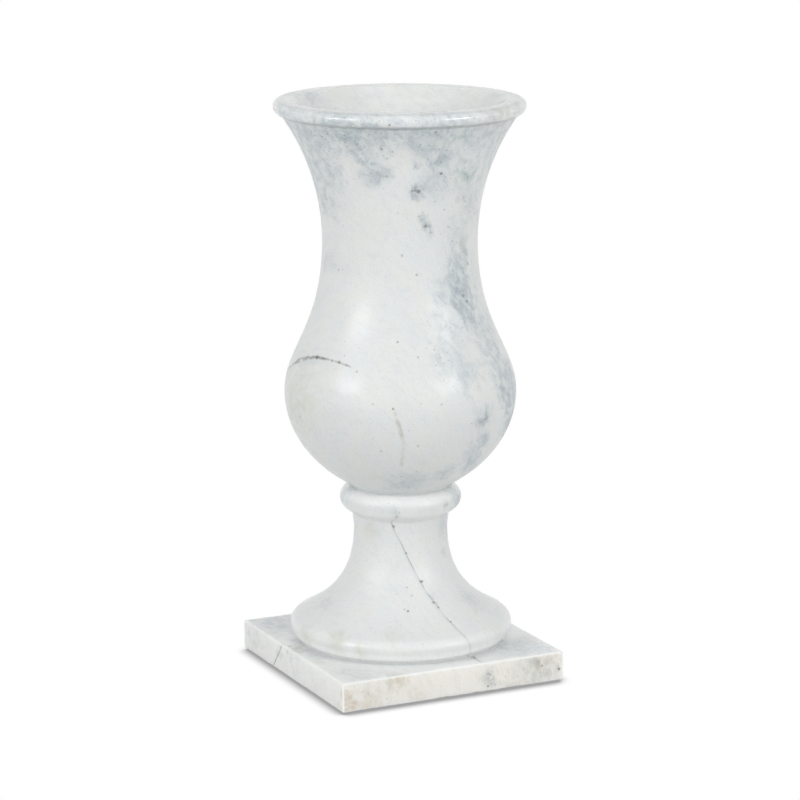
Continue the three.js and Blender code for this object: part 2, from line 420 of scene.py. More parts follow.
outline = square_ring()
outline_angle = np.arctan2(outline[:, 1], outline[:, 0])
print("the outline has", len(outline), "points")


def square_at(inset):
    """The outline drawn in by inset: each point moves towards the middle along x and y alike."""
    return outline * ((plinth_half - inset) / plinth_half)


def circle_at(radius):
    """Points on a circle, at the same angles as the outline's."""
    return radius * np.column_stack([np.cos(outline_angle), np.sin(outline_angle)])


# %%
# The plinth's rings
def plinth_rings():
    """Rings of points (x, y, z), from the counterbore's ceiling at the hole, round the slab and back. Between
    a circle and a square, a ring is circle x (1 - share) + square x share."""
    ceiling = plinth_bottom + counterbore_depth
    rings = []

    def ring(xy, z):
        rings.append(np.column_stack([xy, np.full(len(xy), z)]))

    for radius in (rod_hole_radius, (rod_hole_radius + counterbore_radius) / 2, counterbore_radius):
        ring(circle_at(radius), ceiling)
    for z in (ceiling - edge_guard, (ceiling + plinth_bottom) / 2, plinth_bottom + counterbore_ease):
        ring(circle_at(counterbore_radius), z)
    circle, square = circle_at(counterbore_radius + counterbore_ease), square_at(plinth_ease)
    for share in np.linspace(0, 1, 24) ** 1.15:  # closer together near the counterbore
        ring(circle * (1 - share) + square * share, plinth_bottom)
    arris = np.radians(np.linspace(90, 0, 7))
    for a in arris[::-1][1:]:
        ring(square_at(plinth_ease * (1 - math.sin(a))), plinth_bottom + plinth_ease * (1 - math.cos(a)))
    for z in np.linspace(plinth_bottom + plinth_ease, plinth_top - plinth_ease, 24)[1:-1]:
        ring(square_at(0), z)
    for a in arris:
        ring(square_at(plinth_ease * (1 - math.sin(a))), plinth_top - plinth_ease * (1 - math.cos(a)))
    circle = circle_at(rod_hole_radius)
    for share in (1 - np.linspace(0, 1, 40) ** 1.3)[1:]:  # closer together near the arris
        ring(circle * (1 - share) + square * share, plinth_top)
    return np.array(rings)


# %%
# Wear on the plinth
sawn_relief = 0.12
arris_wear = 0.25
chip_depth = 0.9
chip_reach = 2.6  # how far from an arris the stone chips
chip_limit = 0.62  # the noise, from 0 to 1, above which it chips
side_margin = 0.05  # a point this near a side starts to count as on it
face_share = 0.7  # of the wear at an arris that also goes into the top or the underside


def worn(rings):
    """Takes stone off along the inward direction: a fine relief on the sides, and chips at the arrises. The
    depth is relief x fine on the sides, plus chip x (coarse above a limit) + wear x fine near an arris. Fine
    and coarse are each two noises of different pitch, added up."""
    flat, z = rings[..., :2], rings[..., 2]
    reach = np.abs(flat).max(-1)
    on_side = np.clip((reach - (plinth_half - side_margin)) / side_margin, 0, 1)
    to_side, to_face = plinth_half - reach, np.minimum(plinth_top - z, z - plinth_bottom)
    near_arris = np.clip(1 - np.hypot(to_side, to_face) / chip_reach, 0, 1)
    fine = noise(rings, 1.6, seed=3) * 0.6 + noise(rings, 4.5, seed=4) * 0.4
    coarse = noise(rings, 5.5, seed=5) * 0.7 + noise(rings, 1.9, seed=6) * 0.3
    chips = np.clip(coarse - chip_limit, 0, 1) / (1 - chip_limit)
    depth = sawn_relief * fine * on_side + (chip_depth * chips + arris_wear * fine) * near_arris
    inward = -flat / reach[..., None] * (np.abs(flat) >= reach[..., None] * 0.999)
    level = np.where(z > (plinth_top + plinth_bottom) / 2, -1.0, 1.0)
    moved = rings.copy()
    moved[..., :2] += inward * depth[..., None]
    moved[..., 2] += level * depth * near_arris * face_share
    return moved


plinth_points = worn(plinth_rings())
plinth_faces = grid_faces(*plinth_points.shape[:2], True).tolist()
plinth = mesh_object("plinth_slab", plinth_points.reshape(-1, 3), plinth_faces)
print("plinth:", len(plinth.data.polygons), "faces")

# %% [markdown]
# What holds the urn together: beds of adhesive in the joints, the threaded rod in its cup of resin, the
# washer, the nut and four rubber feet. They hardly show from in front, but the nut and the rubber feet do
# when the urn is turned over. A mason wipes the adhesive that squeezes out of a joint with a finger, so the
# beds end in small coves between the stones.

# %%
# Adhesive beds
def bed_piece(name, node_name, below, low_pull, high_pull, above):
    """A thin disc with a hole. Its wiped edge is a sweep from a radius and height on the stone below to those
    on the stone above, counted from the bed's underside."""
    low, high = span(node_name)
    thickness = high[2] - low[2]
    cove = sweep(below, low_pull, high_pull, above, steps=10)
    profile = joined((rod_hole_radius, 0), cove, (high[0], thickness), (rod_hole_radius, thickness))
    return turned_piece(name, profile + [0, low[2]], closed=True)


upper_bed = bed_piece("upper_bed_adhesive", "upper_bed", (33.6, 0), (-0.9, 0.1), (-0.6, -0.28), (33.3, 1.1))
lower_bed = bed_piece("lower_bed_adhesive", "lower_bed", (69.4, 0), (-0.1, 0.1), (0, -0.3), (69.25, 0.6))
print("beds:", len(upper_bed.data.polygons) + len(lower_bed.data.polygons), "faces")

# %% [markdown]
# The rod's thread is a function of the angle and the height: at each height the groove has turned by one
# full turn for each pitch. The nut is a hexagon whose corners are cut by a cone at both ends.

# %%
# Rod
thread_pitch, thread_depth = 1.25, 0.68
thread_length = 22.0
thread_fade = 2.0  # over which the groove runs out
rod_ease = 0.8


def tie_rod():
    """Radius = rod - depth x triangle(height / pitch - angle / turn) where the rod is threaded."""
    low, high = span("tie_rod")
    turns, step = 48, thread_pitch / 10
    height = np.arange(low[2], high[2], step)[:, None]
    angle = (2 * np.pi * np.arange(turns) / turns)[None, :]
    phase = (height / thread_pitch - angle / (2 * np.pi)) % 1
    groove = 1 - np.abs(2 * phase - 1)
    from_end = np.minimum(height - low[2], high[2] - height)
    threaded = np.clip((thread_length - from_end) / thread_fade, 0, 1)
    chamfer = np.clip(rod_ease - from_end, 0, rod_ease)
    r = np.minimum(rod_radius - thread_depth * groove * threaded, rod_radius - chamfer)
    rings = np.stack([r * np.cos(angle), r * np.sin(angle), height + 0 * r], -1)
    return capped_mesh("threaded_rod", rings, low[2], height[-1, 0], sharp_degrees=50)


rod = tie_rod()
print("rod:", len(rod.data.polygons), "faces")

# %%
# Nut
rod_gap = 0.3
hole_radius = rod_radius + rod_gap  # in the nut, the washer and the resin
nut_cone_rise = 30.0  # degrees above the flat, of the cones that cut the hexagon's corners
nut_face_drop = 0.15  # how far inside the flats the cones start
nut_steps = np.array([0, 0.25, 0.5, 0.8, 1.1])  # rings from each face of the nut


def rod_nut():
    """Radius = the smaller of half the flats / cos(angle from the flat's middle) and a cone at each end."""
    low, high = span("rod_nut")
    turns = 96
    half_flats = high[0] * math.cos(np.pi / 6)
    angle = (2 * np.pi * np.arange(turns) / turns)[None, :]
    flat = half_flats / np.cos((angle % (np.pi / 3)) - np.pi / 6)
    height = np.concatenate([nut_steps, high[2] - low[2] - nut_steps[::-1]])
    from_end = np.minimum(height, height[-1] - height)[:, None]
    cone = half_flats - nut_face_drop + from_end / math.tan(math.radians(nut_cone_rise))
    hole = np.full((1, turns), hole_radius)
    r = np.vstack([hole, np.minimum(flat, cone), hole])
    z = low[2] + np.concatenate([[0], height, [height[-1]]])[:, None]
    points = np.stack([r * np.cos(angle), r * np.sin(angle), z + 0 * r], -1)
    faces = grid_faces(len(r), turns, True).tolist()
    return mesh_object("hexagon_nut", points.reshape(-1, 3), faces, sharp_degrees=20)


nut = rod_nut()
print("nut:", len(nut.data.polygons), "faces")


# %%
# Washer and resin
def washer():
    """A flat ring with rounded edges."""
    low, high = span("rod_washer")
    outer, edge = high[0], 0.4
    profile = joined(
        (hole_radius, low[2]),
        arc((outer - edge, low[2] + edge), edge, -90, 0, steps=5),
        arc((outer - edge, high[2] - edge), edge, 0, 90, steps=5),
        (hole_radius, high[2]),
    )
    return turned_piece("flat_washer", profile, turns=96, closed=True)


def resin_cup():
    """The resin that fills the socket round the rod's top end: a cup turned over, with eased edges."""
    low, high = span("socket_resin")
    outer, ease, over_rod = high[0], 0.5, 2.4
    profile = joined(
        (0, high[2] - over_rod),
        (hole_radius, high[2] - over_rod),
        (hole_radius, low[2]),
        arc((outer - ease, low[2] + ease), ease, -90, 0, steps=4),
        arc((outer - ease, high[2] - ease), ease, 0, 90, steps=4),
        (0, high[2]),
    )
    return turned_piece("resin_cup", profile, turns=64)


ring_washer, resin = washer(), resin_cup()
print("washer and resin:", len(ring_washer.data.polygons) + len(resin.data.polygons), "faces")


# %%
# Rubber feet
def rubber_foot(name, node_name):
    """A low bumper with an eased edge, a bevelled top and a shallow dimple in its underside. It is turned on
    the axis, and then its mesh moves to its corner of the plinth."""
    low, high = span(node_name)
    x, y = ((low + high) / 2)[:2]
    radius, height = (high[0] - low[0]) / 2, high[2] - low[2]
    ease, bevel, dimple = 0.5, 0.15, 0.25
    profile = joined(
        (0, dimple),
        sweep((0, dimple), (1.2, 0), (-1.2, 0), (3.2, 0), steps=8),
        arc((radius - ease, ease), ease, -90, 0, steps=8),
        (radius, height - bevel),
        (radius - bevel, height),
        (0, height),
    )
    piece = turned_piece(name, profile + [0, low[2]], turns=96)
    piece.data.transform(Matrix.Translation((x * MM, y * MM, 0)))
    return piece


rubber_nodes = [f"rubber_foot_{corner}" for corner in range(1, 5)]
rubber_feet = [rubber_foot(f"bumper_{i + 1}", node_name) for i, node_name in enumerate(rubber_nodes)]
print("rubber feet:", len(rubber_feet))

# %%
# Every piece rides on the urn's one body and takes the place of its solid
stands_for = {
    "vase_body": (vessel, "body_marble"),
    "foot": (foot, "foot_marble"),
    "plinth": (plinth, "plinth_marble"),
    "tie_rod": (rod, "zinc_steel"),
    "rod_nut": (nut, "zinc_steel"),
    "rod_washer": (ring_washer, "zinc_steel"),
    "socket_resin": (resin, "resin"),
    "upper_bed": (upper_bed, "stone_adhesive"),
    "lower_bed": (lower_bed, "stone_adhesive"),
}
for rubber_node, rubber_piece in zip(rubber_nodes, rubber_feet):
    stands_for[rubber_node] = (rubber_piece, "black_rubber")
for node_name, (piece, slot_name) in stands_for.items():
    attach(piece, "root")
    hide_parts(node_name)
print(len(stands_for), "pieces take the places of their solids")

# %% [markdown]
# Materials are written as short recipes. Helpers keep them readable: one adds a node and sets or links its
# sockets, and the others do a sum, a fade between two values or a blend of two colours.


# %%
# Helpers for node trees
def node(tree, kind, inputs=None, **settings):
    """Adds a shader node. An input that is a socket is linked, and any other value is written on it."""
    made = tree.nodes.new("ShaderNode" + kind)
    for key, value in settings.items():
        setattr(made, key, value)
    for key, value in (inputs or {}).items():
        if isinstance(value, bpy.types.NodeSocket):
            tree.links.new(value, made.inputs[key])
        else:
            made.inputs[key].default_value = value
    return made


def sums(tree, operation, *values):
    """One sum on numbers."""
    return node(tree, "Math", dict(enumerate(values)), operation=operation).outputs[0]


def product(tree, *values):
    """Two numbers multiplied."""
    return sums(tree, "MULTIPLY", *values)


def vectors(tree, operation, *values, out="Vector"):
    """One sum on vectors."""
    return node(tree, "VectorMath", dict(enumerate(values)), operation=operation).outputs[out]


def smooth(tree, value, low, high, to_low=0.0, to_high=1.0):
    """A value that rises smoothly from to_low to to_high as the input goes from low to high."""
    inputs = {"Value": value, "From Min": low, "From Max": high, "To Min": to_low, "To Max": to_high}
    return node(tree, "MapRange", inputs, interpolation_type="SMOOTHSTEP").outputs["Result"]


def blended(tree, share, first, second, blend_type="MIX"):
    """A colour between two others."""
    inputs = {0: share, 6: first, 7: second}
    return node(tree, "Mix", inputs, data_type="RGBA", blend_type=blend_type).outputs[2]


def colour(red, green, blue):
    """A colour given as on a colour chart, from 0 to 255, as the linear value that a shader works with."""
    parts = np.array([red, green, blue]) / 255
    linear = np.where(parts <= 0.04045, parts / 12.92, ((parts + 0.055) / 1.055) ** 2.4)
    return (*linear.tolist(), 1.0)


# %%
# Helpers for node groups
def new_group(name, inputs, outputs):
    """An empty shader node group with named sockets, and the sockets of its input and output nodes. An input
    comes with its usual value, and three numbers make it a vector. Outputs are listed by kind."""
    group = bpy.data.node_groups.new(name, "ShaderNodeTree")
    for socket_name, value in inputs.items():
        kind = "NodeSocketVector" if isinstance(value, tuple) else "NodeSocketFloat"
        group.interface.new_socket(socket_name, in_out="INPUT", socket_type=kind).default_value = value
    for kind, socket_names in outputs.items():
        for socket_name in socket_names:
            group.interface.new_socket(socket_name, in_out="OUTPUT", socket_type="NodeSocket" + kind)
    return group, group.nodes.new("NodeGroupInput").outputs, group.nodes.new("NodeGroupOutput").inputs


def use(tree, group, inputs=None):
    """Places a group in a tree."""
    return node(tree, "Group", inputs, node_tree=group).outputs


# %% [markdown]
# Marble is limestone that was squeezed and heated until its old layers flowed. So its pattern runs through
# the block, and the turned surface only cuts it open. The recipe works the same way, from the place in the
# block. The old layers lie across one direction, the bedding, and every pattern is pressed thin along it.
# That is why the streaks climb on the left of the vessel and fall steeply on its right, as they do in the
# photograph: one set of flat layers makes both.

# %%
# Group: a place, pressed thin along the bedding
CM = 100.0  # patterns are worked out in centimetres

press_group, press_in, press_out = new_group(
    "pressed place",
    {"Place": (0, 0, 0), "Bedding": (0, 0, 1), "Press": 2.0},
    {"Vector": ["Place"]},
)
tree = press_group
across = vectors(tree, "DOT_PRODUCT", press_in["Place"], press_in["Bedding"], out="Value")
more = product(tree, across, sums(tree, "SUBTRACT", press_in["Press"], 1.0))
extra = node(tree, "VectorMath", {0: press_in["Bedding"], "Scale": more}, operation="SCALE").outputs[0]
tree.links.new(vectors(tree, "ADD", press_in["Place"], extra), press_out["Place"])
print("group:", press_group.name)

# %% [markdown]
# The stone's own patterns are noises of different pitch. Each place is moved about a little first, so no
# layer runs straight, and the noises are pressed along the bedding. Only the crystals' grain is neither. Fine
# dots come from a pattern of cells with one dot in each. A number drawn from the cell's colour, its chance,
# later decides whether the dot shows, and a second one says how dark it is.

# %%
# Group: the stone's own patterns
stone_group, stone_in, stone_out = new_group(
    "stone patterns",
    {"Bedding": (0, 0, 1), "Block": (0, 0, 0)},
    {
        "Vector": ["Place", "Drift", "Wander"],
        "Float": ["Mottle", "Streaks", "Wisps", "Blots", "Fibres", "Grain", "Dot", "Chance"],
    },
)


def pattern(tree, place, scale, detail, rough, press=None, out="Fac"):
    """Noise of so many waves to the centimetre, pressed along the bedding if press is given."""
    if press:
        place = use(tree, press_group, {"Place": place, "Bedding": stone_in["Bedding"], "Press": press})[0]
    inputs = {"Vector": place, "Scale": scale, "Detail": detail, "Roughness": rough}
    return node(tree, "TexNoise", inputs).outputs[out]


def drift(tree, place, scale, detail, length):
    """A place moved by up to about half of that many centimetres either way."""
    away = vectors(tree, "SUBTRACT", pattern(tree, place, scale, detail, 0.55, out="Color"), (0.5, 0.5, 0.5))
    return vectors(tree, "ADD", place, vectors(tree, "MULTIPLY", away, (length, length, length)))


tree = stone_group
place = vectors(tree, "MULTIPLY", node(tree, "TexCoord").outputs["Object"], (CM, CM, CM))
in_block = vectors(tree, "ADD", place, stone_in["Block"])
wandered = drift(tree, drift(tree, in_block, 0.35, 2.0, 1.4), 1.7, 2.0, 0.35)
cells = node(tree, "TexVoronoi", {"Vector": drift(tree, in_block, 7.0, 1.0, 0.12), "Scale": 5.2}).outputs
lots = node(tree, "SeparateColor", {0: cells["Color"]}).outputs
dot = smooth(tree, cells["Distance"], 0.08, 0.40, 1.0, 0.0)
dot = product(tree, dot, smooth(tree, lots[1], 0.0, 1.0, 0.35, 1.0))
found = {
    "Place": place,
    "Drift": drift(tree, place, 0.35, 1.0, 0.35),
    "Wander": vectors(tree, "SUBTRACT", wandered, stone_in["Block"]),
    "Mottle": pattern(tree, wandered, 0.5, 3.0, 0.5, press=1.6),
    "Streaks": pattern(tree, wandered, 0.9, 4.0, 0.5, press=4.0),
    "Wisps": pattern(tree, wandered, 1.5, 3.0, 0.5, press=1.6),
    "Blots": pattern(tree, wandered, 3.6, 2.0, 0.5, press=1.3),
    "Fibres": pattern(tree, wandered, 6.0, 3.0, 0.6, press=3.0),
    "Grain": pattern(tree, in_block, 15.0, 2.0, 0.7),
    "Dot": dot,
    "Chance": lots[0],
}
for socket_name, socket in found.items():
    tree.links.new(socket, stone_out[socket_name])
print("stone patterns:", ", ".join(found))

# %% [markdown]
# A cloud is a soft body inside the stone. It is a ball with a size, seen in a place that was pressed along
# the bedding, so it comes out flat as the rest does, and noise makes its outline ragged. The same group
# makes stains, broad pale clouds, small nests where dark flakes gather, single dots, and patches of painted
# light and painted shade.

# %%
# Group: a cloud
cloud_edge, cloud_heart = -0.15, 1.05  # depths, in shares of the size, where a cloud starts and is full

cloud_group, cloud_in, cloud_out = new_group(
    "cloud in the stone",
    {"Place": (0, 0, 0), "Centre": (0, 0, 0), "Size": 1.0, "Ragged": 0.0, "Strength": 1.0},
    {"Float": ["Clear"]},
)
tree = cloud_group
reach = vectors(tree, "DISTANCE", cloud_in["Place"], cloud_in["Centre"], out="Value")
at_centre = sums(tree, "ADD", 1.0, cloud_in["Ragged"])
depth = sums(tree, "SUBTRACT", at_centre, sums(tree, "DIVIDE", reach, cloud_in["Size"]))
share = smooth(tree, depth, cloud_edge, cloud_heart, 0.0, cloud_in["Strength"])
tree.links.new(sums(tree, "SUBTRACT", 1.0, share), cloud_out["Clear"])
print("group:", cloud_group.name)

# %% [markdown]
# A vein is a crack that was filled again, so it is a thin sheet through the block. Where the turned surface
# cuts the sheet, a line shows. The sheet is a plane, given by the way it faces and how far it lies from the
# origin, and it runs out at some distance from its heart. It breaks up along its run, and the stone on one
# side of it is a little greyer.

# %%
# Group: a vein
halo_shift = 0.8  # of half the halo's width, from the vein to the halo's middle

vein_group, vein_in, vein_out = new_group(
    "vein in the stone",
    {
        "Place": (0, 0, 0),
        "Noise": 0.5,
        "Facing": (0, 0, 1),
        "Offset": 0.0,
        "Heart": (0, 0, 0),
        "Reach": 10.0,
        "Width": 0.05,
        "Halo": 0.4,
    },
    {"Float": ["Line", "Halo"]},
)
tree = vein_group
along = vectors(tree, "DOT_PRODUCT", vein_in["Place"], vein_in["Facing"], out="Value")
past = sums(tree, "SUBTRACT", along, vein_in["Offset"])
from_heart = vectors(tree, "DISTANCE", vein_in["Place"], vein_in["Heart"], out="Value")
lively = smooth(tree, from_heart, 0.0, vein_in["Reach"], 1.0, 0.0)
broken = smooth(tree, vein_in["Noise"], 0.42, 0.58, 0.4, 1.0)
line = smooth(tree, sums(tree, "ABSOLUTE", past), 0.0, vein_in["Width"], 1.0, 0.0)
line = product(tree, line, product(tree, broken, smooth(tree, lively, 0.0, 0.12)))
tree.links.new(line, vein_out["Line"])
half_halo = product(tree, vein_in["Halo"], 0.5)
from_halo = sums(tree, "ABSOLUTE", sums(tree, "SUBTRACT", past, product(tree, half_halo, halo_shift)))
beside = smooth(tree, from_halo, 0.0, half_halo, 1.0, 0.0)
tree.links.new(product(tree, beside, lively), vein_out["Halo"])
print("group:", vein_group.name)

# %% [markdown]
# Clouds are placed as someone would point at them: by the height on the stone and by the turn round it,
# counted from the camera's side. A turn and a height, with the profile's radius there, give the place in the
# block.


# %%
# Where a place on a turned stone is, in the block
def on_stone(skin, height, turn):
    """Place in centimetres of a height in millimetres and a turn in degrees from the camera's side."""
    radius = np.interp(height, skin[:, 1], skin[:, 0])
    angle = math.radians(turn - 90) - camera_turn
    return (radius * math.cos(angle) / 10, radius * math.sin(angle) / 10, height / 10)


def rising(profile, bottom, least_rise=1e-6):
    """The points of a profile that lie higher than all before them, moved to their place above the floor."""
    profile = profile + [0, bottom]
    highest = np.maximum.accumulate(profile[:, 1])
    return profile[np.concatenate([[True], profile[1:, 1] > highest[:-1] + least_rise])]


vessel_skin = rising(vessel_outside(), body_bottom)
foot_skin = rising(foot_profile()[1:-1], foot_bottom)
skin_low, skin_high = vessel_skin[[0, -1], 1].round(1).tolist()
print("the vessel's clouds lie between", skin_low, "and", skin_high, "mm")


# %%
# Directions and pressed places
def unit(x, y, z):
    """A direction of length 1."""
    length = math.sqrt(x * x + y * y + z * z)
    return (x / length, y / length, z / length)


def pressed(point, bedding, press):
    """The pressed place of a point, as the group works it out: p + b (p . b) (press - 1)."""
    across = sum(p * b for p, b in zip(point, bedding))
    return tuple(p + b * across * (press - 1) for p, b in zip(point, bedding))


# %%
# Many clouds as one mask
def cloud_masks(tree, stone, bedding, clouds, ragged, noise="Wisps", place="Wander"):
    """The share of a list of clouds, which is 1 - (1 - a)(1 - b)... A cloud is its place in centimetres, size
    in millimetres, press and strength. Clouds that are pressed alike share one pressed place."""
    rough = sums(tree, "MULTIPLY_ADD", stone[noise], ragged, -ragged / 2)
    places = {}
    clear = 1.0
    for centre, size, press, strength in clouds:
        if press not in places:
            inputs = {"Place": stone[place], "Bedding": bedding, "Press": press}
            places[press] = use(tree, press_group, inputs)[0]
        inputs = {
            "Place": places[press],
            "Centre": pressed(centre, bedding, press),
            "Size": size / 10,
            "Ragged": rough,
            "Strength": strength,
        }
        clear = product(tree, use(tree, cloud_group, inputs)[0], clear)
    return sums(tree, "SUBTRACT", 1.0, clear)


# %% [markdown]
# The marble of all three stones is one recipe. The ground is a cool white that drifts a little towards warm
# white. Over it come stains, pale blue-grey clouds that thin out in streaks, nests of dark flakes, veins,
# dots and fine grain. Some bands round a turned stone differ: recesses and joints are painted paler, which is
# painted light that lifts their shade, one band makes the foot's body a little paler, and a sharp crease is
# painted darker, which is painted shade. The stone is honed, so its own gloss is dull. A thin coat of wax
# over it gives the small sharp highlights on the bead, while the body stays soft. Light also goes a few
# millimetres into the stone and comes out again, which is what subsurface does.

# %%
# Colours of the marble
cool_white = colour(228, 231, 231)
warm_white = colour(230, 232, 230)
cloud_and_shade_grey = colour(175, 187, 194)
blot_grey = colour(135, 149, 157)
flake_grey = colour(96, 107, 109)
dot_brown = colour(92, 92, 82)
vein_grey = colour(92, 98, 94)
halo_grey = colour(205, 210, 215)
olive = colour(206, 208, 192)
moss = colour(178, 195, 189)
umber = colour(172, 166, 146)
# painted shade colour, for a crease and the bead's top
painted_shade_grey = colour(150, 156, 156)
pale_and_lit_white = colour(252, 253, 252)
print("the cool white as a shader sees it:", tuple(round(part, 3) for part in cool_white[:3]))


# %%
# The marble's tone
cloud_chance, nest_chance, lone_chance = 0.55, 0.7, 0.03  # of a fine dot in a cloud, in a nest and elsewhere
pepper_share = 0.55  # how strongly the fine dots show
fibre_share = 0.16  # the warm tint where the fibres are densest
halo_share = 0.3


def marble_tone(tree, stone, bedding, pale_and_lit, clouds, nests, dots, veins, stains):
    """The colour of the stone at each place in the block. Pale_and_lit is how far the ground goes towards
    white, as paler stone or as painted light. Each layer is laid over the last by its mask x the share that a
    noise lets through."""
    tone = blended(tree, smooth(tree, stone["Mottle"], 0.38, 0.62), cool_white, warm_white)
    tone = blended(tree, pale_and_lit, tone, pale_and_lit_white)
    # patches are real stains, and also painted light: the white patch in the vessel's mouth
    for patch_colour, places, ragged, place in stains:
        stain = cloud_masks(tree, stone, bedding, places, ragged, place=place)
        stain = product(tree, stain, smooth(tree, stone["Wisps"], 0.36, 0.6, 0.5, 1.0))
        tone = blended(tree, stain, tone, patch_colour)
    tone = blended(tree, smooth(tree, stone["Fibres"], 0.5, 0.72, 0.0, fibre_share), tone, umber)
    # the clouds carry some painted shade too: rows at the vessel's bead and grey patches beside the plinth's
    # foot
    cloud = cloud_masks(tree, stone, bedding, clouds, 1.0)
    veil_and_shade = product(tree, cloud, smooth(tree, stone["Wisps"], 0.35, 0.62, 0.62, 1.0))
    veil_and_shade = product(tree, veil_and_shade, smooth(tree, stone["Fibres"], 0.34, 0.6, 0.78, 1.1))
    veil_and_shade = sums(tree, "MAXIMUM", veil_and_shade, smooth(tree, stone["Streaks"], 0.46, 0.74, 0.03, 0.12))
    tone = blended(tree, veil_and_shade, tone, cloud_and_shade_grey)
    nest = cloud_masks(tree, stone, bedding, nests, 1.4)
    blot = product(tree, nest, smooth(tree, stone["Blots"], 0.4, 0.66, 0.12, 0.55))
    tone = blended(tree, blot, tone, blot_grey)
    chance = sums(tree, "MULTIPLY_ADD", cloud, cloud_chance, lone_chance)
    chance = sums(tree, "MULTIPLY_ADD", nest, nest_chance, chance)
    for facing, offset, heart, reach, width, halo, strength in veins:
        inputs = {
            "Place": stone["Drift"],
            "Noise": stone["Wisps"],
            "Facing": facing,
            "Offset": offset / 10,
            "Heart": heart,
            "Reach": reach / 10,
            "Width": width / 10,
            "Halo": halo / 10,
        }
        vein = use(tree, vein_group, inputs)
        tone = blended(tree, product(tree, vein["Halo"], halo_share), tone, halo_grey)
        tone = blended(tree, product(tree, vein["Line"], strength), tone, vein_grey)
    shown = smooth(tree, sums(tree, "SUBTRACT", chance, stone["Chance"]), 0.0, 0.04, 0.0, pepper_share)
    pepper = product(tree, stone["Dot"], shown)
    dot = cloud_masks(tree, stone, bedding, dots, 0.7, noise="Blots", place="Place")
    return blended(tree, dot, blended(tree, pepper, tone, flake_grey), dot_brown)


def grained(tree, stone, tone, darkest=0.95):
    """The colour with the crystals' grain over it."""
    grain = smooth(tree, stone["Grain"], 0.3, 0.7, darkest, 1.0)
    grey = node(tree, "CombineColor", {0: grain, 1: grain, 2: grain}).outputs[0]
    return blended(tree, 1.0, tone, grey, "MULTIPLY")


# %%
# Materials and the stone's shader
wax_roughness = 0.14
inner_share, inner_reach = 0.8, 0.007  # of the light that goes into the stone, and how far, in metres


def new_material(name):
    """An empty material and its node tree."""
    material = bpy.data.materials.new(name)
    material.use_nodes = True
    material.node_tree.nodes.clear()
    return material, material.node_tree


def stone_shader(tree, tone, roughness, wax, normal):
    """The stone's shader and the material's end. Wax is the coat's weight."""
    inputs = {
        "Base Color": tone,
        "Roughness": roughness,
        "Normal": normal,
        "Coat Weight": wax,
        "Coat Roughness": wax_roughness,
        "Coat Normal": normal,
        "Subsurface Weight": inner_share,
        "Subsurface Radius": (1.0, 0.95, 0.9),
        "Subsurface Scale": inner_reach,
    }
    shader = node(tree, "BsdfPrincipled", inputs)
    node(tree, "OutputMaterial", {"Surface": shader.outputs[0]})


# %%
# Marble for a turned stone
pale_and_lit_blur, painted_shade_blur, wax_blur = 5.0, 1.2, 2.0  # over which a band fades out, in millimetres
painted_shade_edge = 1.0  # over which the painted shade fades in from its least radius, in millimetres
relief_depth = 0.0003  # of the polished grain, in metres


def in_band(tree, height, low, high, blur):
    """1 between two heights in millimetres, falling smoothly to 0 over the blur beyond each."""
    up = smooth(tree, height, (low - blur) / 10, low / 10)
    return product(tree, up, smooth(tree, height, high / 10, (high + blur) / 10, 1.0, 0.0))


def turned_marble(name, bedding, block, wax, wax_bands, pale_and_lit_bands, painted_shade_bands=(), **features):
    """Honed and waxed marble, for a turned stone. A wax band is its two heights and the wax there. A pale and
    lit band is its two heights and how far the ground goes towards white, as paler stone or as painted light
    that lifts shade. A painted shade band is its two heights, the radius it starts at and the shade's share
    of the colour. Heights and radii are in millimetres."""
    material, tree = new_material(name)
    stone = use(tree, stone_group, {"Bedding": bedding, "Block": block})
    height = node(tree, "SeparateXYZ", {0: stone["Place"]}).outputs[2]
    # towards white: paler stone in some bands, painted light that lifts the shade of recesses and joints in
    # others
    pale_and_lit = 0.0
    for low, high, share in pale_and_lit_bands:
        pale_and_lit = sums(tree, "MULTIPLY_ADD", in_band(tree, height, low, high, pale_and_lit_blur), share, pale_and_lit)
    tone = marble_tone(tree, stone, bedding, pale_and_lit, **features)
    radius = vectors(tree, "LENGTH", vectors(tree, "MULTIPLY", stone["Place"], (1, 1, 0)), out="Value")
    # painted shade: darker bands in a crease and on a bead's top
    for low, high, least, share in painted_shade_bands:
        outside = smooth(tree, radius, least / 10, (least + painted_shade_edge) / 10, 0.0, share)
        painted_shade = product(tree, in_band(tree, height, low, high, painted_shade_blur), outside)
        tone = blended(tree, painted_shade, tone, painted_shade_grey)
    coat = wax
    for low, high, there in wax_bands:
        coat = sums(tree, "MULTIPLY_ADD", in_band(tree, height, low, high, wax_blur), there - wax, coat)
    roughness = smooth(tree, stone["Wisps"], 0.3, 0.7, 0.44, 0.54)
    relief = node(tree, "Bump", {"Height": stone["Grain"], "Strength": 0.05, "Distance": relief_depth})
    stone_shader(tree, grained(tree, stone, tone), roughness, coat, relief.outputs[0])
    return material


# %% [markdown]
# The vessel. Blue-grey clouds gather under the rim and down the right, small dark nests sit in them, and an
# olive tint lies low on the left. The clouds at the bead and just under it also darken those places as
# painted shade. One thin dark vein crosses the left of the bowl, with dots strung along it where it opens. A
# wide white patch in the mouth is painted light, which lifts the shade inside the hollow. The bead has the
# most wax, and painted shade darkens the crease under it and a thin line on its top. The side that the
# photograph doesn't show has the same kinds of cloud, on the same bedding.

# %%
# Rows of features
ONE_PRESS = [1.0]  # for a row without a press, which stays round


def placed(skin, rows):
    """Rows of height, turn, size, press and strength as clouds, each with its place in the block."""
    clouds = []
    for height, turn, size, *press, strength in rows:
        clouds.append((on_stone(skin, height, turn), size, *(press or ONE_PRESS), strength))
    return clouds


def strung(points, count, size, strength):
    """Rows for a string of dots, evenly spaced from point to point. A point is a height and a turn."""
    steps = np.linspace(0, len(points) - 1, count)
    heights, turns = (np.interp(steps, np.arange(len(points)), column) for column in zip(*points))
    return [(height, turn, size, strength) for height, turn in zip(heights.tolist(), turns.tolist())]


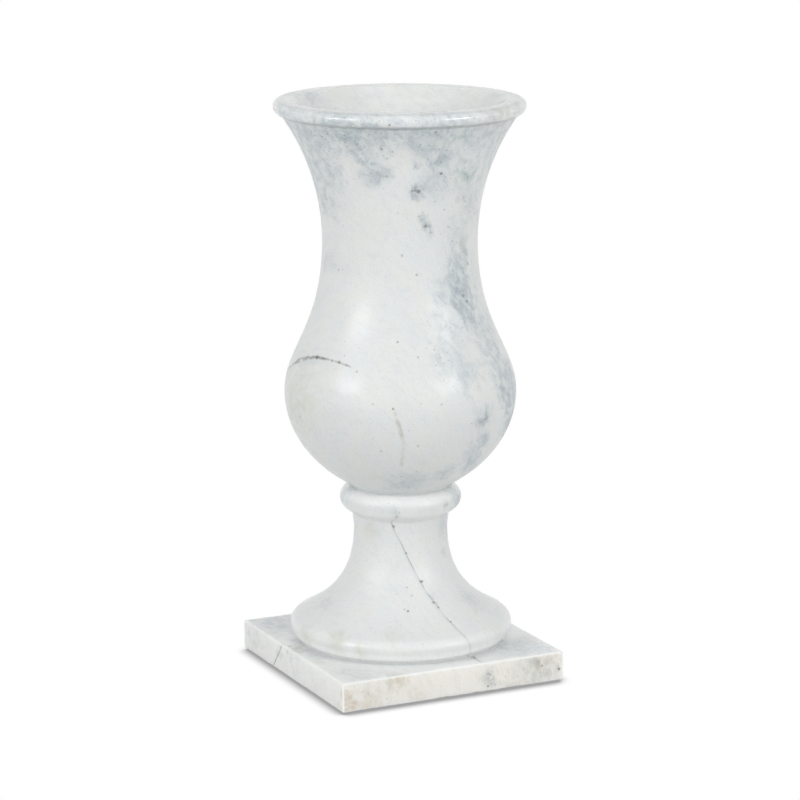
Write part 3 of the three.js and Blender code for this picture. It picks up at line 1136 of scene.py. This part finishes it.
# %%
# The vessel's clouds and nests: height, turn, size, press and strength
vessel_clouds_and_shade = [
    # the side that the photograph shows, from the top down
    # the rows at the bead and just under it, from 374 to 391 mm, are partly painted shade on the bead and the
    # crease
    (391, -68, 26, 1.0, 0.40), (391, -26, 26, 1.0, 0.48), (391, 20, 16, 1.0, 0.30),
    (387, -36, 12, 1.0, 0.32), (387, -13, 10, 1.0, 0.36), (387, 26, 12, 1.0, 0.28),
    (380, -14, 28, 1.0, 0.52), (380, 14, 30, 1.0, 0.50), (380, 72, 34, 1.0, 0.40),
    (379, -46, 34, 1.0, 0.52), (379, 40, 30, 1.0, 0.38), (378, -78, 32, 1.0, 0.42),
    (378, -6, 18, 1.2, 0.45), (376, -31, 20, 1.2, 0.45), (374, 12, 22, 1.2, 0.45),
    (374, 55, 30, 1.2, 0.18), (368, -25, 13, 1.0, 0.45), (362, -20, 11, 1.2, 0.45),
    (362, -58, 32, 1.5, 0.42), (360, 25, 22, 1.1, 0.32), (359, 23, 10, 1.2, 0.35),
    (356, 66, 34, 1.3, 0.28), (352, -11, 12, 1.2, 0.55), (350, 77, 22, 1.2, 0.28),
    (350, -20, 14, 1.2, 0.60), (348, -80, 30, 1.6, 0.42), (347, -48, 14, 2.2, 0.40),
    (344, 22, 20, 1.1, 0.42), (344, 44, 20, 1.2, 0.25), (340, -78, 28, 1.2, 0.42),
    (339, 11, 8, 1.0, 0.70), (334, -52, 26, 1.4, 0.30), (328, 58, 28, 1.6, 0.42),
    (320, -72, 24, 2.0, 0.32), (317, 18, 10, 2.2, 0.5), (309.5, 20.2, 6, 2.0, 0.45),
    (306, 44, 22, 1.4, 0.36), (286, -62, 18, 2.2, 0.32), (286, 50, 17, 1.2, 0.55),
    (269, 47, 25, 1.0, 0.78), (252, 27, 16, 1.2, 0.30), (251, 50, 16, 1.2, 0.60),
    (240, 66, 30, 1.5, 0.48), (236, 30, 34, 1.2, 0.25), (222, 32, 24, 1.4, 0.36),
    (214, 62, 27, 1.7, 0.62), (213, 36, 14, 1.2, 0.25), (200, 60, 12, 1.4, 0.50),
    (198, 76, 32, 1.5, 0.75), (187, 46, 15, 1.2, 0.70), (186, 46, 7, 1.0, 0.60),
    (180, 78, 22, 1.2, 0.50), (176, 80, 30, 1.4, 0.75), (170, 49, 12, 1.4, 0.60),
    (156, 46, 22, 1.9, 0.75), (148, 58, 12, 1.2, 0.50), (148, 30, 14, 1.4, 0.50),
    (142, 0, 18, 1.2, 0.38), (140, 10, 24, 1.6, 0.30),
    # the far side
    (386, -114, 32, 1.0, 0.60), (380, 106, 34, 1.0, 0.45), (378, 258, 24, 1.0, 0.40),
    (370, 232, 20, 1.0, 0.32), (368, 137, 20, 1.0, 0.28), (364, 152, 18, 1.8, 0.45),
    (362, 202, 14, 1.2, 0.30), (358, 170, 15, 1.2, 0.38), (352, 116, 26, 1.6, 0.42),
    (346, 243, 30, 1.7, 0.38), (338, 192, 24, 2.0, 0.45), (323, 205, 13, 2.2, 0.55),
    (303, 98, 34, 2.4, 0.35), (266, 110, 34, 1.9, 0.55), (255, 164, 18, 2.4, 0.35),
    (243, 124, 17, 1.6, 0.55), (243, 236, 14, 1.6, 0.40), (230, 218, 36, 2.0, 0.45),
    (214, 116, 28, 2.0, 0.50), (211, 203, 13, 1.7, 0.55), (194, 246, 22, 2.2, 0.30),
    (186, 103, 18, 1.6, 0.45), (176, 187, 34, 2.0, 0.42), (158, 172, 13, 1.5, 0.50),
]
vessel_nests = [
    # the side that the photograph shows, from the top down
    (381, 17.5, 3.7, 1.0, 0.81), (376, -42, 3.4, 1.6, 0.63), (372, -62, 4.6, 2.0, 0.54),
    (371, -28, 6.9, 1.2, 0.68), (369, -9, 3.4, 1.2, 0.81), (365, -31, 4.6, 1.2, 0.54),
    (360, 22, 5.2, 1.0, 0.54), (358, -22, 4.6, 1.4, 0.54), (357, 8, 4.0, 1.0, 0.63),
    (355, -60, 5.8, 2.2, 0.54), (350, -18, 6.9, 1.8, 0.63), (350, 25.5, 2.5, 1.0, 0.90),
    (345, 47, 6.3, 1.2, 0.54), (339.5, 11, 6.3, 1.0, 0.90), (320.5, 16.7, 4.5, 1.0, 0.70),
    (314.5, 18.8, 5.0, 1.0, 0.90), (309.5, 20.5, 3.5, 1.0, 0.70), (296, 55, 3.4, 1.2, 0.54),
    (288, 40, 3.0, 1.2, 0.72), (284, 58, 3.4, 1.2, 0.72), (274, 47, 4.0, 1.2, 0.63),
    (272.5, 47.8, 5.0, 1.2, 0.80), (264, 50, 7.5, 1.2, 0.85), (260, 39, 4.6, 1.2, 0.63),
    (258, 40.6, 5.0, 1.2, 0.70), (252, 50.7, 5.0, 1.2, 0.65), (206, 60, 7.5, 1.6, 0.68),
    (200, 67, 5.8, 1.8, 0.68), (190, 42, 3.4, 1.2, 0.63), (187, 47, 6.3, 1.2, 0.85),
    (177, 77, 9.2, 1.4, 0.72), (173, 50, 4.0, 1.6, 0.63),
    # the far side
    (364, 200, 6.9, 1.4, 0.72), (352, 120, 5.2, 1.6, 0.63), (345, 128, 6.9, 1.2, 0.72),
    (341, 244, 4.6, 1.6, 0.63), (322, 206, 5.2, 1.8, 0.81), (318, 236, 5.8, 1.8, 0.72),
    (314, 209, 3.4, 1.4, 0.72), (259, 113, 6.3, 1.2, 0.81), (255, 160, 8.0, 1.3, 0.81),
    (244, 125, 4.0, 1.4, 0.72), (240, 173, 4.6, 1.2, 0.72), (212, 204, 5.2, 1.6, 0.72),
    (200, 116, 6.9, 1.4, 0.72), (180, 192, 6.9, 1.3, 0.72),
]
print("the vessel has", len(vessel_clouds_and_shade), "clouds and", len(vessel_nests), "nests")

# %%
# The vessel's dots, without a press, and its stains
vessel_dots = [
    # along the vein
    *strung([(217.5, -74), (219.8, -69)], 4, 1.5, 0.70),
    *strung([(222.0, -64.5), (223.2, -61.5)], 3, 1.4, 0.60),
    *strung([(224.3, -58.5), (225.2, -55.5)], 3, 1.3, 0.55),
    (226.1, -52.4, 2.0, 0.85), (226.0, -46.3, 1.4, 0.60), (225.9, -40.3, 1.2, 0.60),
    (225.8, -35.3, 1.6, 0.70), (224.8, -30.2, 1.3, 0.50), (221.4, -23.4, 1.2, 0.45),
    # on their own
    (386, -4.5, 1.2, 0.80), (380, 17.5, 1.2, 0.72), (377, -38, 0.9, 0.72), (377, -28, 0.9, 0.64),
    (374.5, -43, 0.9, 0.72), (372, -29, 1.1, 0.64), (368.5, -9.5, 1.4, 0.72), (350.5, 25.5, 1.4, 0.80),
    (349.5, -8, 1.0, 0.64), (339.5, 8, 1.2, 0.64), (339, 12, 2.1, 0.72), (315, 18.5, 1.5, 0.64),
    (296, 1.5, 1.3, 0.40), (286, 58.5, 1.5, 0.56), (283, 12, 1.2, 0.64), (283, -50, 1.1, 0.56),
    (266, 49, 1.7, 0.72), (262, 52, 1.5, 0.64), (246, 60, 0.9, 0.48), (240.5, -1.5, 1.1, 0.64),
    (235, 20, 0.9, 0.40), (231, 10, 1.0, 0.56), (201.8, -13.3, 1.1, 0.35), (200.9, 20.2, 1.1, 0.40),
    (199, -3.5, 1.1, 0.72), (187, 47, 1.8, 0.30), (173, 9, 1.2, 0.40), (169, -10, 1.1, 0.48),
]
vessel_olive = [
    (203, -60, 36, 1.2, 0.35), (184, -70, 24, 1.2, 0.35), (147, -18, 5, 1.4, 0.35),
    (160, 12, 5, 1.4, 0.30), (300, 53, 8, 1.2, 0.45), (388, 55, 14, 1.0, 0.55),
]
# inside the mouth a place is x, y and z in centimetres
mouth_olive = [
    ((-1.3, 7.0, 39.2), 14, 1.2, 0.3),
    ((-0.3, 6.85, 38.9), 10, 1.2, 0.3),
    ((3.2, 6.6, 38.6), 12, 1.2, 0.25),
]
# painted light: a wide white patch that lifts the shade inside the mouth
mouth_painted_light = [((0, 0, 39.5), 108, 1.0, 1.0)]
vessel_moss = [(349, 45.5, 15, 1.2, 0.55), (376, 34, 9, 1.2, 0.4)]
rim_umber = [(390, 50, 26, 1.0, 0.22), (390, 78, 30, 1.0, 0.26)]
umber_trail = [(196, -2.8), (190, -1.0), (184, 0.3), (177, 1.1), (168, 1.2), (158, 0.7)]
vessel_umber = strung(umber_trail, 24, 1.9, 0.36)
print("the vessel has", len(vessel_dots), "dots")

# %%
# The vessel's marble. A vein is the way its sheet faces, its offset, heart, reach, width, halo and strength
vessel_bedding = unit(-0.793, -0.278, -0.543)
bowl_sheet = -64.8
bowl_vein = (vessel_bedding, bowl_sheet, on_stone(vessel_skin, 221, -62), 50, 1.0, 6.0, 0.6)
thick_vein = (vessel_bedding, bowl_sheet, on_stone(vessel_skin, 223, -60), 19, 1.7, 6.0, 0.6)
back_vein = (unit(-0.70, -0.20, -0.68), -182.0, on_stone(vessel_skin, 300, 160), 70, 0.8, 7.0, 0.5)
vessel.data.materials.append(
    turned_marble(
        "vessel marble",
        vessel_bedding,
        (0, 0, 0),
        wax=0.19,
        wax_bands=[(385, 400, 0.9)],
        # painted light: the band at the bowl's underside by the joint is painted paler, lifting its shade
        pale_and_lit_bands=[(130, 133, 0.1)],
        # painted shade in the crease under the bead, and a thin painted dark line on the bead's top
        painted_shade_bands=[(382.4, 383.8, 74.5, 0.38), (392.1, 393.0, 76.0, 0.14)],
        clouds=placed(vessel_skin, vessel_clouds_and_shade),
        nests=placed(vessel_skin, vessel_nests),
        dots=placed(vessel_skin, vessel_dots),
        veins=[bowl_vein, thick_vein, back_vein],
        stains=[
            (olive, placed(vessel_skin, vessel_olive) + mouth_olive, 1.2, "Wander"),
            (pale_and_lit_white, mouth_painted_light, 0.0, "Place"),
            (moss, placed(vessel_skin, vessel_moss), 0.9, "Place"),
            (umber, placed(vessel_skin, vessel_umber), 2.0, "Place"),
            (umber, placed(vessel_skin, rim_umber), 0.6, "Place"),
        ],
    )
)
print("vessel marble:", len(vessel.data.materials[0].node_tree.nodes), "nodes")

# %% [markdown]
# The foot. Its stone is calmer: a faint blue cast at the upper right, olive patches low on the left, and one
# long vein that starts at the ring and runs down the right to the foot's edge, with dark dots along it. The
# ring's round and the foot's edge have more wax. The undercut above the listel, the cove under the ring and
# the ring's top by the joint are painted paler, which is painted light that lifts their shade, and the foot's
# body is a little paler stone.

# %%
# The foot's features
foot_bedding = unit(-0.931, -0.178, -0.320)
foot_clouds = [
    # the side that the photograph shows, from the top down
    (128, -70, 14, 1.2, 0.50), (122, 72, 20, 1.4, 0.70), (121, 47, 5, 1.2, 0.50),
    (120, -8, 6, 1.2, 0.35), (104, 66, 20, 1.6, 0.38), (84, 60, 8, 2.4, 0.40), (52, 68, 18, 1.6, 0.35),
    (50, -72, 16, 1.6, 0.30),
    # the far side
    (110, 230, 18, 1.6, 0.55), (96, 150, 18, 1.4, 0.60), (60, 190, 24, 1.6, 0.55),
]
foot_nests = [
    # the side that the photograph shows, from the top down
    (121, 47, 3.0, 1.2, 0.30), (83, 60, 2.5, 2.4, 0.45), (62, 28, 3.5, 2.0, 0.55),
    (56, 31, 3.5, 2.0, 0.65),
    # the far side
    (92, 152, 5.0, 1.4, 0.70), (58, 186, 5.0, 1.6, 0.70),
]
foot_dots = [
    (121.5, 49, 1.0, 0.25), (121, 46, 1.2, 0.25), (116, -4, 1.8, 0.40), (107.5, -8.3, 1.5, 0.70),
    (89, 6.5, 1.1, 0.60), (70, 21, 1.5, 0.85), (70, 22.5, 1.1, 0.70), (67, 6, 1.1, 0.45),
    (62, 10, 1.0, 0.35), (57, 28, 1.4, 0.75), (54.5, 3, 0.8, 0.50), (54, 30.5, 1.2, 0.70),
    (53.5, 5.5, 1.2, 0.85), (46, 34, 1.1, 0.60),
]
foot_olive = [
    (38, -34, 12, 1.2, 0.60), (35, -58, 10, 1.4, 0.60), (31, -20, 8, 1.2, 0.55),
    (102, -40, 10, 1.6, 0.30), (42, -4, 12, 1.2, 0.30), (34, 60, 10, 1.4, 0.30),
]
foot_vein = (foot_bedding, -12.4, on_stone(foot_skin, 50, 30), 84, 0.6, 3.0, 0.5)
foot.data.materials.append(
    turned_marble(
        "foot marble",
        foot_bedding,
        (13.0, 4.0, 7.0),
        wax=0.12,
        wax_bands=[(118, 134, 0.3), (24, 42, 0.4)],
        # the undercut above the listel, the cove under the ring and the ring's top are painted light lifting
        # their shade; the foot's body is paler stone
        pale_and_lit_bands=[(22, 27, 0.75), (36, 107, 0.15), (113, 116, 0.35), (127, 132, 0.6)],
        clouds=placed(foot_skin, foot_clouds),
        nests=placed(foot_skin, foot_nests),
        dots=placed(foot_skin, foot_dots),
        veins=[foot_vein],
        stains=[(olive, placed(foot_skin, foot_olive), 1.2, "Wander")],
    )
)
print("foot marble:", len(foot_clouds), "clouds,", len(foot_nests), "nests,", len(foot_dots), "dots")

# %% [markdown]
# The plinth. Its top is honed like the rest, but its sides are as the saw left them: rougher, warmer where
# iron in the stone has rusted, and white along the arrises, partly bruised and partly a painted highlight
# where the eased arrises catch the light. The side that faces the front is beige with rust near its left end
# and along the bottom. A crack runs down the left side. Round the foot the top is painted paler, which is
# painted light that lifts the foot's shade, and grey patches beside the foot are painted shadow and
# reflection of the foot. Sawn faces hold no wax.

# %%
# The plinth's features, placed by x, y and z in millimetres
def in_slab(rows):
    """Rows of x, y, z, size, press and strength as clouds."""
    clouds = []
    for x, y, z, size, *press, strength in rows:
        clouds.append(((x / 10, y / 10, z / 10), size, *(press or ONE_PRESS), strength))
    return clouds


front_y, left_x = -plinth_half, -plinth_half
plinth_clouds_and_shade = [
    # the first and third rows, grey on the top beside the foot, are painted shadow and reflection of the
    # foot, with some cloud
    (60, -56, plinth_top, 30, 1.2, 0.50), (70, 0, plinth_top, 30, 1.2, 0.30),
    (-60, 60, plinth_top, 40, 1.2, 0.50), (-74, -8, plinth_top, 30, 1.4, 0.25),
    (-66, -62, plinth_top, 22, 1.4, 0.25), (60, 60, plinth_top, 36, 1.3, 0.45),
    (left_x, 10, 10, 30, 1.4, 0.05), (25, front_y, 9, 10, 1.0, 0.40), (62, front_y, 12, 32, 1.0, 0.35),
    (-60, front_y, 12, 30, 1.0, 0.15), (-70, 20, plinth_top, 20, 2.0, 0.30),
    (20, -70, plinth_top, 16, 2.0, 0.25), (plinth_half, 20, 12, 26, 1.3, 0.45),
    (-10, plinth_half, 12, 30, 1.3, 0.45),
]
plinth_nests = [
    (24.5, front_y, 10.5, 4.2, 1.2, 1.00), (25.5, front_y, 6.5, 3.0, 1.2, 1.00),
    (62, front_y, 17, 2.6, 1.2, 0.80), (66, front_y, 13, 1.8, 1.2, 0.80),
    (79, front_y, 10, 2.6, 1.2, 1.00), (72, front_y, 3, 2.0, 1.2, 0.60),
    (plinth_half, 24, 12, 6, 1.3, 0.90), (-20, plinth_half, 10, 5, 1.3, 0.90),
]
plinth_dots = [
    (21.5, -66, plinth_top, 2.0, 0.95), (22, -69, plinth_top, 1.3, 0.75),
    (66, front_y, 13.5, 1.0, 0.80), (79, front_y, 9.5, 1.6, 0.85), (25, front_y, 5.0, 1.2, 0.70),
    (-79, 10, plinth_top, 2.4, 0.45),
]
plinth_olive = [
    (-79, 4, plinth_top, 12, 1.6, 0.70), (-76, -30, plinth_top, 10, 1.6, 0.40),
    (left_x, 20, 14, 7, 1.4, 0.55), (left_x, 66, 4, 14, 1.8, 0.25), (-44, front_y, 19, 14, 1.4, 0.60),
    (60, front_y, 16, 12, 1.4, 0.55),
]
plinth_rust = [
    (-79, front_y, 12, 7, 1.6, 0.85), (-75, front_y, 8, 9, 1.6, 0.75), (-77, front_y, 3, 8, 1.2, 0.80),
    (-60, front_y, 4, 14, 1.2, 0.35), (-40, front_y, 18, 10, 1.2, 0.50),
    (-30, front_y, 2, 12, 1.2, 0.30), (70, front_y, 17, 12, 1.2, 0.40), (-66, front_y, 2, 5, 1.2, 0.40),
    (38, front_y, 3, 5, 1.0, 0.40), (46, front_y, 2.5, 5, 1.0, 0.45), (55, front_y, 3, 5, 1.0, 0.35),
    (left_x, -76, 4, 6, 1.2, 0.35), (plinth_half, -60, 4, 12, 1.2, 0.60),
    (plinth_half, 50, 5, 10, 1.2, 0.45), (40, plinth_half, 5, 14, 1.2, 0.50),
]
print("the plinth has", len(plinth_clouds_and_shade), "clouds and", len(plinth_rust), "rust stains")

# %%
# The plinth's marble
rust = colour(206, 191, 172)
beige = colour(253, 249, 244)
bruised_and_highlight_white = colour(246, 246, 243)
sawn_bite = 0.6  # how far in from a side the sawn look starts
arris_reach = 2.0  # width of the white band along an arris, bruising and painted highlight
painted_light_gap = 10.0  # width of the paler band round the foot, painted light that lifts the foot's shade


def plinth_marble(name, bedding, block, **features):
    """Marble with a honed top, sawn sides and white arrises, partly bruised and partly a painted highlight.
    """
    material, tree = new_material(name)
    stone = use(tree, stone_group, {"Bedding": bedding, "Block": block})
    x, y, z = node(tree, "SeparateXYZ", {0: stone["Place"]}).outputs
    half, top, bottom = plinth_half / 10, plinth_top / 10, plinth_bottom / 10
    to_x = sums(tree, "SUBTRACT", half, sums(tree, "ABSOLUTE", x))
    to_y = sums(tree, "SUBTRACT", half, sums(tree, "ABSOLUTE", y))
    to_z = sums(tree, "MINIMUM", sums(tree, "SUBTRACT", top, z), sums(tree, "SUBTRACT", z, bottom))
    to_side = sums(tree, "MINIMUM", to_x, to_y)
    to_arris = sums(tree, "MAXIMUM", to_side, sums(tree, "MINIMUM", sums(tree, "MAXIMUM", to_x, to_y), to_z))
    sawn = smooth(tree, to_side, sawn_bite / 20, sawn_bite / 10, 1.0, 0.0)
    from_axis = vectors(tree, "LENGTH", node(tree, "CombineXYZ", {0: x, 1: y}).outputs[0], out="Value")
    # painted light: the top is painted paler round the foot, lifting the shade that the foot casts there
    painted_light_near_foot = smooth(tree, from_axis, foot_radius / 10, (foot_radius + painted_light_gap) / 10, 0.35, 0.0)
    pale_and_lit = sums(tree, "ADD", smooth(tree, sawn, 0.0, 1.0, 0.5, 0.68), painted_light_near_foot)
    tone = marble_tone(tree, stone, bedding, pale_and_lit, **features)
    facing_front = smooth(tree, sums(tree, "ADD", y, half), 0.0, sawn_bite / 10, 1.0, 0.2)
    tone = blended(tree, product(tree, sawn, facing_front), tone, beige, "MULTIPLY")
    rusty = cloud_masks(tree, stone, bedding, in_slab(plinth_rust), 1.6)
    rusty = product(tree, rusty, smooth(tree, stone["Blots"], 0.38, 0.6, 0.35, 0.8))
    tone = blended(tree, product(tree, rusty, sawn), tone, rust)
    pits = product(tree, sawn, smooth(tree, stone["Grain"], 0.3, 0.38, 0.12, 0.0))
    tone = blended(tree, pits, tone, umber)
    # white along the arrises: partly bruising, partly a painted highlight where the eased arrises catch the
    # light
    ragged = sums(tree, "MULTIPLY_ADD", stone["Blots"], 0.16, sums(tree, "SUBTRACT", to_arris, 0.08))
    bruised_and_highlight = smooth(tree, ragged, 0.0, arris_reach / 10, 0.85, 0.0)
    tone = grained(tree, stone, blended(tree, bruised_and_highlight, tone, bruised_and_highlight_white))
    roughness = sums(tree, "MULTIPLY_ADD", sawn, 0.22, smooth(tree, stone["Wisps"], 0.3, 0.7, 0.44, 0.56))
    wax = product(tree, sums(tree, "SUBTRACT", 1.0, sawn), 0.25)
    height = sums(tree, "MULTIPLY_ADD", product(tree, stone["Blots"], sawn), 2.0, stone["Grain"])
    relief = node(tree, "Bump", {"Height": height, "Strength": 0.2, "Distance": 0.0004})
    stone_shader(tree, tone, roughness, wax, relief.outputs[0])
    return material


plinth_vein = (unit(-0.96, -0.046, -0.28), -23.5, (2.14, -6.8, plinth_top / 10), 13, 0.6, 3.0, 0.6)
side_crack = (unit(0, 0.805, 0.593), 26.2, (left_x / 10 - 1, 2.46, 1.07), 20, 0.8, 3.0, 0.95)
plinth.data.materials.append(
    plinth_marble(
        "plinth marble",
        foot_bedding,
        (-9.0, 21.0, 3.0),
        clouds=in_slab(plinth_clouds_and_shade),
        nests=in_slab(plinth_nests),
        dots=in_slab(plinth_dots),
        veins=[plinth_vein, side_crack],
        stains=[(olive, in_slab(plinth_olive), 1.2, "Wander")],
    )
)
print("plinth marble:", len(plinth.data.materials[0].node_tree.nodes), "nodes")


# %% [markdown]
# The fixings have plain finishes: stone adhesive, resin, zinc plated steel and black rubber. Nothing real has
# one flat colour, so each finish drifts between two near tones, and its roughness and a fine relief drift
# with it.


# %%
# Plain finishes for the fixings
def plain_finish(name, base, other, scale, roughness, metallic=0.0):
    """A finish whose colour drifts between two tones, with a fine relief."""
    material, tree = new_material(name)
    place = vectors(tree, "MULTIPLY", node(tree, "TexCoord").outputs["Object"], (CM, CM, CM))
    inputs = {"Vector": place, "Scale": scale, "Detail": 5.0, "Roughness": 0.6}
    cast = node(tree, "TexNoise", inputs).outputs["Fac"]
    tone = blended(tree, smooth(tree, cast, 0.35, 0.65), base, other)
    rough = smooth(tree, cast, 0.3, 0.7, roughness - 0.06, roughness + 0.08)
    bump = node(tree, "Bump", {"Height": cast, "Strength": 0.1, "Distance": 0.0002})
    inputs = {"Base Color": tone, "Roughness": rough, "Metallic": metallic, "Normal": bump.outputs[0]}
    shader = node(tree, "BsdfPrincipled", inputs)
    node(tree, "OutputMaterial", {"Surface": shader.outputs[0]})
    return material


adhesive = plain_finish("stone adhesive", colour(226, 229, 230), colour(219, 222, 223), 8.0, 0.75)
cured_resin = plain_finish("cured resin", colour(196, 186, 160), colour(180, 168, 140), 5.0, 0.55)
zinc = plain_finish("zinc plated steel", colour(196, 198, 200), colour(168, 172, 178), 6.0, 0.36, 1.0)
rubber = plain_finish("black rubber", colour(44, 44, 45), colour(34, 34, 35), 12.0, 0.8)
finishes = [
    (adhesive, [upper_bed, lower_bed]),
    (zinc, [rod, nut, ring_washer]),
    (cured_resin, [resin]),
    (rubber, rubber_feet),
]
for finish, pieces in finishes:
    for piece in pieces:
        piece.data.materials.append(finish)
print(len(finishes), "plain finishes")

# %% [markdown]
# The studio. Two wide soft lights hang to the left and to the right of the camera, a little above it, which
# is what the twin highlights on the bowl and the bead show. Three more, in front, above and behind, fill the
# shadows. They are kept out of the gloss, because the photograph has no highlights for them. A pale room
# fills the rest. The floor and the room are plain white to the camera. Close to the urn the floor darkens,
# where it can't see the room.


# %%
# Lights
urn_middle = np.array([0, 0, 0.22])  # what the lights face, in metres


def soft_light(name, turn, elevation, distance, width, height, power):
    """A rectangular lamp that faces the middle of the urn. Turn is in degrees from the camera's side, and
    elevation in degrees above the horizon. Distance and size are in metres."""
    lamp = bpy.data.lights.new(name, "AREA")
    lamp.shape = "RECTANGLE"
    lamp.size, lamp.size_y = width, height
    lamp.energy = power
    made = bpy.data.objects.new(name, lamp)
    angle = math.radians(turn - 90) - camera_turn
    rise = math.radians(elevation)
    out = np.array([math.cos(angle) * math.cos(rise), math.sin(angle) * math.cos(rise), math.sin(rise)])
    made.location = urn_middle + out * distance
    made.rotation_euler = (math.pi / 2 - rise, 0, angle + math.pi / 2)
    bpy.context.scene.collection.objects.link(made)
    return made


soft_light("left light", -54, 20, 2.4, 1.1, 0.58, 18.5)
soft_light("right light", 55, 20, 2.4, 1.1, 0.58, 18)
for fill_light in (
    soft_light("front light", 0, 5, 2.4, 2.4, 0.9, 6.3),
    soft_light("top light", 0, 64, 2.2, 1.6, 1.6, 6.7),
    soft_light("back light", 180, 2, 2.4, 2.2, 0.9, 36),
):
    fill_light.visible_glossy = False

print("lights:", ", ".join(lamp.name for lamp in bpy.data.lights))

# %%
# Room
room_fill = 0.42  # the room's light on the stone
room_in_gloss = 0.9  # and as the wax mirrors it
world = bpy.data.worlds.new("studio")
world.use_nodes = True
bpy.context.scene.world = world
tree = world.node_tree
tree.nodes.clear()
path = node(tree, "LightPath").outputs
shown = sums(tree, "MAXIMUM", path["Is Camera Ray"], path["Is Transmission Ray"])
mirrored = product(tree, path["Is Glossy Ray"], room_in_gloss)
strength = sums(tree, "MAXIMUM", shown, sums(tree, "MAXIMUM", mirrored, room_fill))
background = node(tree, "Background", {"Color": (1, 1, 1, 1), "Strength": strength})
node(tree, "OutputWorld", {"Surface": background.outputs[0]})
print("the room lights the stone at", room_fill)

# %%
# Floor
half_floor = 2.0
shadow_reach = 0.0115  # how far from the urn the floor darkens, in metres
shadow_tone = 0.36  # the floor's glow where it sees least of the room
floor_mesh = bpy.data.meshes.new("floor")
corners = [(x * half_floor, y * half_floor, 0) for x, y in ((-1, -1), (1, -1), (1, 1), (-1, 1))]
floor_mesh.from_pydata(corners, [], [(0, 1, 2, 3)])
floor = bpy.data.objects.new("floor", floor_mesh)
bpy.context.scene.collection.objects.link(floor)
material, tree = new_material("studio floor")
openness = node(tree, "AmbientOcclusion", {"Distance": shadow_reach}, samples=16).outputs["AO"]
brightness = smooth(tree, openness, 0.35, 0.95, shadow_tone, 1.0)
glow = node(tree, "Emission", {"Color": (1, 1, 1, 1), "Strength": brightness})
matt = node(tree, "BsdfDiffuse", {"Color": colour(230, 230, 230)})
path = node(tree, "LightPath").outputs
shown = sums(tree, "MAXIMUM", path["Is Camera Ray"], path["Is Glossy Ray"])
front = node(tree, "MixShader", {0: shown, 1: matt.outputs[0], 2: glow.outputs[0]})
clear = node(tree, "BsdfTransparent")
backfacing = node(tree, "NewGeometry").outputs["Backfacing"]
both = node(tree, "MixShader", {0: backfacing, 1: front.outputs[0], 2: clear.outputs[0]})
node(tree, "OutputMaterial", {"Surface": both.outputs[0]})
floor_mesh.materials.append(material)
print("floor:", round(2 * half_floor, 1), "metres across")

# %%
# Colour management
bpy.context.scene.view_settings.view_transform = "Standard"
